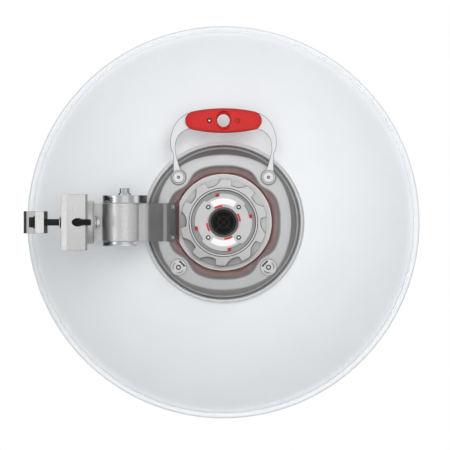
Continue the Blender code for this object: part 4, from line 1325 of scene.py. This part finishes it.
def make_jaw_bolt(side, y):
    """Rows of a hexagonal head, a threaded rod and its tip, and a turned washer."""
    angle, radius = hexagon(14.0, math.pi)
    centre = (y, 0.0)
    chamfer = np.minimum(radius, 7.2)
    seat = JAW_SEAT_X - 0.3
    rows = [(0.5, -62.4), (5.6, -62.5), (chamfer - 0.2, -62.3), (radius, -61.4), (radius, -56.6)]
    rows += [(8.6, -56.2), (9.6, -54.4), (9.6, seat), (ROD_RADIUS, seat), (ROD_RADIUS, -17.0)]
    head = turned_rows(rows, angle, "X", centre)
    thread = thread_rows(centre, ROD_RADIUS, 1.5, 0.75, -18.0, ROD_END_X - 1.0, count=72)
    tip = ((4.4, ROD_END_X - 0.9), (3.4, ROD_END_X), (0.1, ROD_END_X))
    end = turned_rows(tip, angle, "X", centre)
    add(
        f"jaw_rod_{side}", np.concatenate([head, thread, end]),
        "jaw", BLACK, "black_steel", f"jaw_bolt_{side}", ends="capped",
    )
    bore = ROD_RADIUS + 0.3
    washer = [(bore, -16.2), (8.4, -16.5), (8.6, -15.9), (8.4, -15.2), (bore, -15.2)]
    add(
        f"jaw_rod_washer_{side}", turned(washer, 48, "X", centre),
        "jaw", BLACK, "black_steel", f"jaw_washer_{side}",
    )
    cup = [(ROD_RADIUS + 0.2, -16.6), (7.0, -16.6), (6.6, -17.6), (ROD_RADIUS + 0.2, -18.4)]
    add(f"jaw_rod_cup_{side}", turned(cup, 48, "X", centre), "jaw", ZINC, "zinc_steel")


def hex_head(name, levels, size, turn, centre, axis, body, flange, shank, node):
    """A flanged bolt: a turned shank and flange, then a hexagon with a chamfered crown."""
    angle, radius = hexagon(size, turn)
    flange_low, flange_high, top = levels
    sign = 1.0 if top > flange_low else -1.0
    rows = [(0.1, shank[1]), (shank[0], shank[1]), (shank[0], flange_low), (flange, flange_low)]
    rows += [(flange, flange_low + sign * 0.9), (flange - 1.4, flange_high)]
    rows += [(radius, flange_high + sign * 0.05), (radius, top - sign * 0.9)]
    rows += [(np.minimum(radius, size * 0.52), top - sign * 0.25), (size * 0.43, top), (0.1, top)]
    add(name, turned_rows(rows, angle, axis, centre), body, ZINC, "zinc_steel", node, ends="capped")


def make_elevation_bolt():
    """A turned washer under a flanged hexagonal bolt."""
    washer = rounded([(PIVOT_BORE, 34.7), (10.35, 34.7), (10.35, 36.2), (PIVOT_BORE, 36.2)], 0.3, 2)
    add(
        "elevation_flat_washer", turned(washer, 64, "X", (0.0, 0.0)),
        "clamp", ZINC, "zinc_steel", "elevation_washer",
    )
    levels = (36.5, 38.2, 42.8)
    shank = (5.0, 5.5)
    place = (math.pi, (0.0, 0.0), "X", "clamp")
    hex_head("elevation_hex_bolt", levels, 13.8, *place, 9.4, shank, "elevation_bolt")


# The elbow, the hub and the arm

def make_elbow():
    """The web and the open barrel as one outline, and the scale disc with a notched groove."""
    hub = (HUB_X, HUB_Y)
    near = 180.0 - math.degrees(math.asin((12.0 - HUB_Y) / SHELL_OUTER_RADIUS))
    far = 180.0 - math.degrees(math.asin((24.0 - HUB_Y) / SHELL_OUTER_RADIUS))
    start = DISC_END_X - 4.0
    outline = joined(
        arc(hub, SHELL_OUTER_RADIUS, BARREL_END, near, 48),
        [(start, 12.0), (start, 24.0)],
        arc(hub, SHELL_OUTER_RADIUS, far, BARREL_START, 40),
        arc(hub, SHELL_INNER_RADIUS, BARREL_START, BARREL_END, 90),
    )
    half = ELBOW_HALF_HEIGHT
    piece = skin("elbow_barrel", slab(outline, -half, half, "Z", 0.6, 3), ends="capped")
    even_normals(piece)
    dress(piece, "elbow", ELBOW, "cast_aluminium", "elbow")
    angle = angles(360)
    tooth = np.where(np.arange(360) % 6 < 3, 1.0, 0.0)
    rim = DISC_RADIUS
    groove = rim - 1.6 + 1.2 * tooth
    rows = [(5.5, 24.3), (rim - 0.6, 24.3), (rim, 24.9), (rim, 31.7), (rim - 0.2, 31.9)]
    rows += [(groove, 32.0), (groove, 32.9), (rim - 0.8, 33.0), (rim - 0.8, 34.0)]
    rows += [(rim - 1.4, DISC_END_X), (5.5, DISC_END_X)]
    grid = turned_rows(rows, angle, "X", (0.0, 0.0))
    add("elbow_scale_disc", grid, "elbow", ELBOW, "cast_aluminium")
    line = [(rim - 2.4, 31.8), (rim - 0.75, 31.8), (rim - 0.75, 33.2), (rim - 2.4, 33.2)]
    add("elbow_scale_groove", turned(line, 120, "X", (0.0, 0.0)), "elbow", LINER, "cast_aluminium")


def make_azimuth_caps():
    """A round upper cap, and a lower one whose radius is the lesser of R and cut / cos t."""
    hub = (HUB_X, HUB_Y)
    low = ELBOW_HALF_HEIGHT + 0.3
    bore = PIVOT_BORE
    profile = [(bore, low), (SHELL_OUTER_RADIUS, low), (SHELL_OUTER_RADIUS, CAP_TOP_Z)]
    profile += [(bore, CAP_TOP_Z)]
    add(
        "azimuth_cap_upper", turned(rounded(profile, 0.7, 4), 160, "Z", hub),
        "elbow", ZINC, "zinc_steel", "azimuth_top_cap",
    )
    angle = angles(ROUND_POINTS)
    edge = np.minimum(SHELL_OUTER_RADIUS, (CAP_CUT_X - HUB_X) / np.maximum(np.cos(angle), 0.01))
    rows = [(bore, -low), (edge - 0.6, -low), (edge, -low - 0.6), (edge, CAP_BOTTOM_Z + 0.7)]
    rows += [(edge - 0.2, CAP_BOTTOM_Z + 0.2), (edge - 0.7, CAP_BOTTOM_Z), (bore, CAP_BOTTOM_Z)]
    add(
        "azimuth_cap_lower", turned_rows(rows, angle, "Z", hub),
        "elbow", ZINC, "zinc_steel", "azimuth_bottom_cap",
    )
    levels = (CAP_TOP_Z + 0.3, 43.6, 50.7)
    turn = -math.pi / 2 - math.radians(10.5)
    shank = (5.0, CAP_BOTTOM_Z)
    place = (turn, hub, "Z", "elbow")
    hex_head("azimuth_hex_bolt", levels, 13.5, *place, 9.8, shank, "azimuth_bolt")


def make_arm():
    """The hub, the neck, the slope and the flange as one outline with its own bend radii."""
    neck_y = HUB_Y - 16.6
    neck = -math.degrees(math.asin((HUB_Y - neck_y) / HUB_RADIUS))
    hub = arc((HUB_X, HUB_Y), HUB_RADIUS, 0.0, 360.0 + neck, 80)
    bends = [(112.5, neck_y), (136.4, 26.0), FLANGE_FOOT, FLANGE_TIP, (151.9, 45.1)]
    bends += [(140.8, 31.7), (130.9, 31.7), (112.0, 8.0)]
    radii = np.concatenate([np.zeros(len(hub)), [7.0, 2.5, 2.0, 0.6, 0.6, 2.0, 4.0, 5.0]])
    outline = rounded(joined(hub, bends), radii, 6)
    half = ELBOW_HALF_HEIGHT
    piece = skin("dish_arm", slab(outline, -half, half, "Z", 0.9, 3), ends="capped")
    even_normals(piece)
    dress(piece, "dish", ARM, "cast_aluminium", "arm")


def tilted(rows):
    """Rows made along Y about the screw's middle, turned square to the arm's flange."""
    turn = math.radians(49.4)
    foot_x, foot_y = FLANGE_FOOT
    tip_x, tip_y = FLANGE_TIP
    face_y = foot_y + (ARM_SCREW_X - foot_x) * (tip_y - foot_y) / (tip_x - foot_x)
    x, y, z = rows[..., 0], rows[..., 1], rows[..., 2]
    across = ARM_SCREW_X + x * math.cos(turn) - y * math.sin(turn)
    along = face_y + x * math.sin(turn) + y * math.cos(turn)
    return np.stack([across, along, z], -1)


def make_arm_screws():
    """Turned domed heads, each with a bright dot at its middle."""
    head = [(0.1, -2.4), (1.6, -2.9), (3.4, -2.4), (4.3, -1.2), (4.3, -0.2), (2.0, -0.2)]
    head += [(2.0, 7.0), (0.1, 7.0)]
    for name, z in (("upper", ARM_SCREW_Z), ("lower", -ARM_SCREW_Z)):
        add(
            f"arm_screw_{name}_head", tilted(turned(head, 40, "Y", (0.0, z))),
            "dish", CORD, "steel", f"arm_screw_{name}", ends="capped",
        )
        dot = [(0.1, -3.2), (0.5, -3.15), (0.75, -2.7), (0.1, -2.4)]
        add(
            f"arm_screw_{name}_dot", tilted(turned(dot, 24, "Y", (0.0, z))),
            "dish", LABEL, "steel", ends="capped",
        )


# The feed

def make_feed():
    """A turned tube, a stepped cone and a shallow sub-reflector."""
    tube = [(18.7, 37.0), (18.7, 60.0), (18.2, 61.0), (18.2, 144.0), (18.7, 145.0), (18.7, 150.0)]
    tube += [(15.5, 150.0), (15.5, 37.0)]
    add("feed_waveguide", turned(tube, 96), "dish", CAST, "cast_aluminium", "feed_tube")
    cone = [(0.1, 130.0), (15.2, 130.0), (15.2, 150.3), (20.0, 150.3), (22.0, 156.0), (24.0, 156.6)]
    cone += [(26.4, 164.0), (28.4, 164.6), (31.0, 172.0), (33.2, 172.6), (34.0, 180.0), (0.1, 180.0)]
    add(
        "feed_stepped_cone", turned(cone, 96),
        "dish", FEED, "white_plastic", "feed_cone", ends="capped",
    )
    disc = [(0.1, 180.3), (35.4, 180.3), (36.0, 180.9), (36.0, 184.6), (34.8, 186.0), (24.0, 189.0)]
    disc += [(12.0, 189.8), (0.1, 189.8)]
    add(
        "feed_sub_reflector", turned(disc, 96),
        "dish", CAST, "cast_aluminium", "sub_reflector", ends="capped",
    )


# The studio

def make_camera():
    """A camera without perspective, square to the back of the dish."""
    scale = PICTURE_PIXELS * MM_PER_PIXEL * METRES_PER_MM
    data = bpy.data.cameras.new("camera")
    data.type = "ORTHO"
    data.ortho_scale = scale
    data.clip_start = 0.05
    data.clip_end = 20.0
    camera = bpy.data.objects.new("camera", data)
    bpy.context.scene.collection.objects.link(camera)
    camera.location = (0.22765, -2.0, -0.0040)
    camera.rotation_euler = (math.pi / 2, 0.0, 0.0)
    bpy.context.scene.camera = camera


def make_world():
    """White to the camera, soft grey to matt surfaces, and upright bands of light to shiny ones."""
    world = bpy.data.worlds.new("studio")
    bpy.context.scene.world = world
    world.use_nodes = True
    tree = Tree(world.node_tree)
    for node in list(world.node_tree.nodes):
        world.node_tree.nodes.remove(node)
    aim = tree.node("ShaderNodeTexCoord", output="Generated")
    x, y, z = (tree.node("ShaderNodeSeparateXYZ", inputs={0: aim}, output=axis) for axis in "XYZ")
    round_about = x.math("ARCTAN2", -y) * (0.5 / math.pi) + 0.5
    bands = [(-180, 0.05), (-106, 0.05), (-94, 0.60), (-76, 0.70), (-64, 1.5), (-50, 1.5), (-40, 0.60)]
    bands += [(-18, 0.60), (-8, 0.90), (14, 0.90), (26, 0.50), (46, 0.48), (56, 1.0), (72, 1.0)]
    bands += [(84, 0.45), (98, 0.15), (180, 0.05)]
    stops = [((angle + 180.0) / 360.0, value / 1.5) for angle, value in bands]
    side = tree.node("ShaderNodeValToRGB", {"stops": stops}, {0: round_about}) * 1.5
    above = z.smooth(0.35, 0.75)
    below = (-z).smooth(0.35, 0.75)
    shiny = side * (1 - above - below) + above * 0.62 + below * 0.22
    behind = y.smooth(-0.1, 0.9, 1.0, 0.45)
    matt = (0.40 + z * 0.05) * behind
    seen = tree.node("ShaderNodeLightPath", output="Is Camera Ray")
    glossy = tree.node("ShaderNodeLightPath", output="Is Glossy Ray")
    strength = (matt * (1 - glossy) + shiny * glossy) * (1 - seen) + seen
    shade = tree.node("ShaderNodeBackground", inputs={"Color": (1.0, 1.0, 1.0), "Strength": strength})
    out = world.node_tree.nodes.new("ShaderNodeOutputWorld")
    world.node_tree.links.new(shade.socket, out.inputs["Surface"])


def make_light(name, place, size, power):
    """A square area light that faces LIGHT_AIM and that neither the camera nor gloss sees."""
    data = bpy.data.lights.new(name, "AREA")
    data.shape = "RECTANGLE"
    data.size = size
    data.size_y = size
    data.energy = power
    light = bpy.data.objects.new(name, data)
    bpy.context.scene.collection.objects.link(light)
    light.location = place
    direction = np.array(LIGHT_AIM) - np.array(place)
    pitch = math.atan2(math.hypot(direction[0], direction[1]), -direction[2])
    turn = math.atan2(direction[1], direction[0]) - math.pi / 2
    light.rotation_euler = (pitch, 0.0, turn)
    light.visible_glossy = False
    light.visible_camera = False


def make_floor():
    """A wide pale disc with a rim that curls under."""
    top, reach = FLOOR_TOP_Z, FLOOR_REACH
    profile = [(0.1, top), (reach, top), (reach + 20.0, top - 10.0), (reach, top - 20.0)]
    profile += [(0.1, top - 20.0)]
    floor = skin("floor", turned(profile, 96, "Z", (DISH_X, 0.0)), ends="capped")
    made = Finish("pale_floor", (0.86, 0.86, 0.86), 0.7)
    cloud = made.noise(300.0, 2.0)
    made.set("Base Color", made.blend(cloud, (0.70, 0.70, 0.705), grey(0.73)))
    floor.data.materials.append(made.material)


make_camera()
make_world()
make_light("key", (0.98, -1.85, 1.36), 1.2, 14.4)
make_light("left_fill", (-1.9, -1.5, -0.75), 1.2, 13.5)
make_light("front_fill", (0.26, -2.40, 0.36), 1.4, 29.0)
make_light("bowl_fill", (1.3, 2.6, 1.0), 1.4, 26.0)
make_floor()

make_reflector()
make_pan()
make_trim_ring()
front_seat = make_front_ring()

make_seal()
make_port_base()
make_lock_collar()
make_port_plate()
make_labels()
make_red_marks()
make_port_screws()
make_plug()

make_handle_bolts()
make_knobs()
make_front_nuts(front_seat)

make_bail()
make_grip()

make_clamp_block()
make_outer_jaw()
make_jaw_bolt("near", -ROD_Y)
make_jaw_bolt("far", ROD_Y)
make_elevation_bolt()

make_elbow()
make_azimuth_caps()
make_arm()
make_arm_screws()

make_feed()

bpy.context.scene.view_settings.view_transform = "Standard"
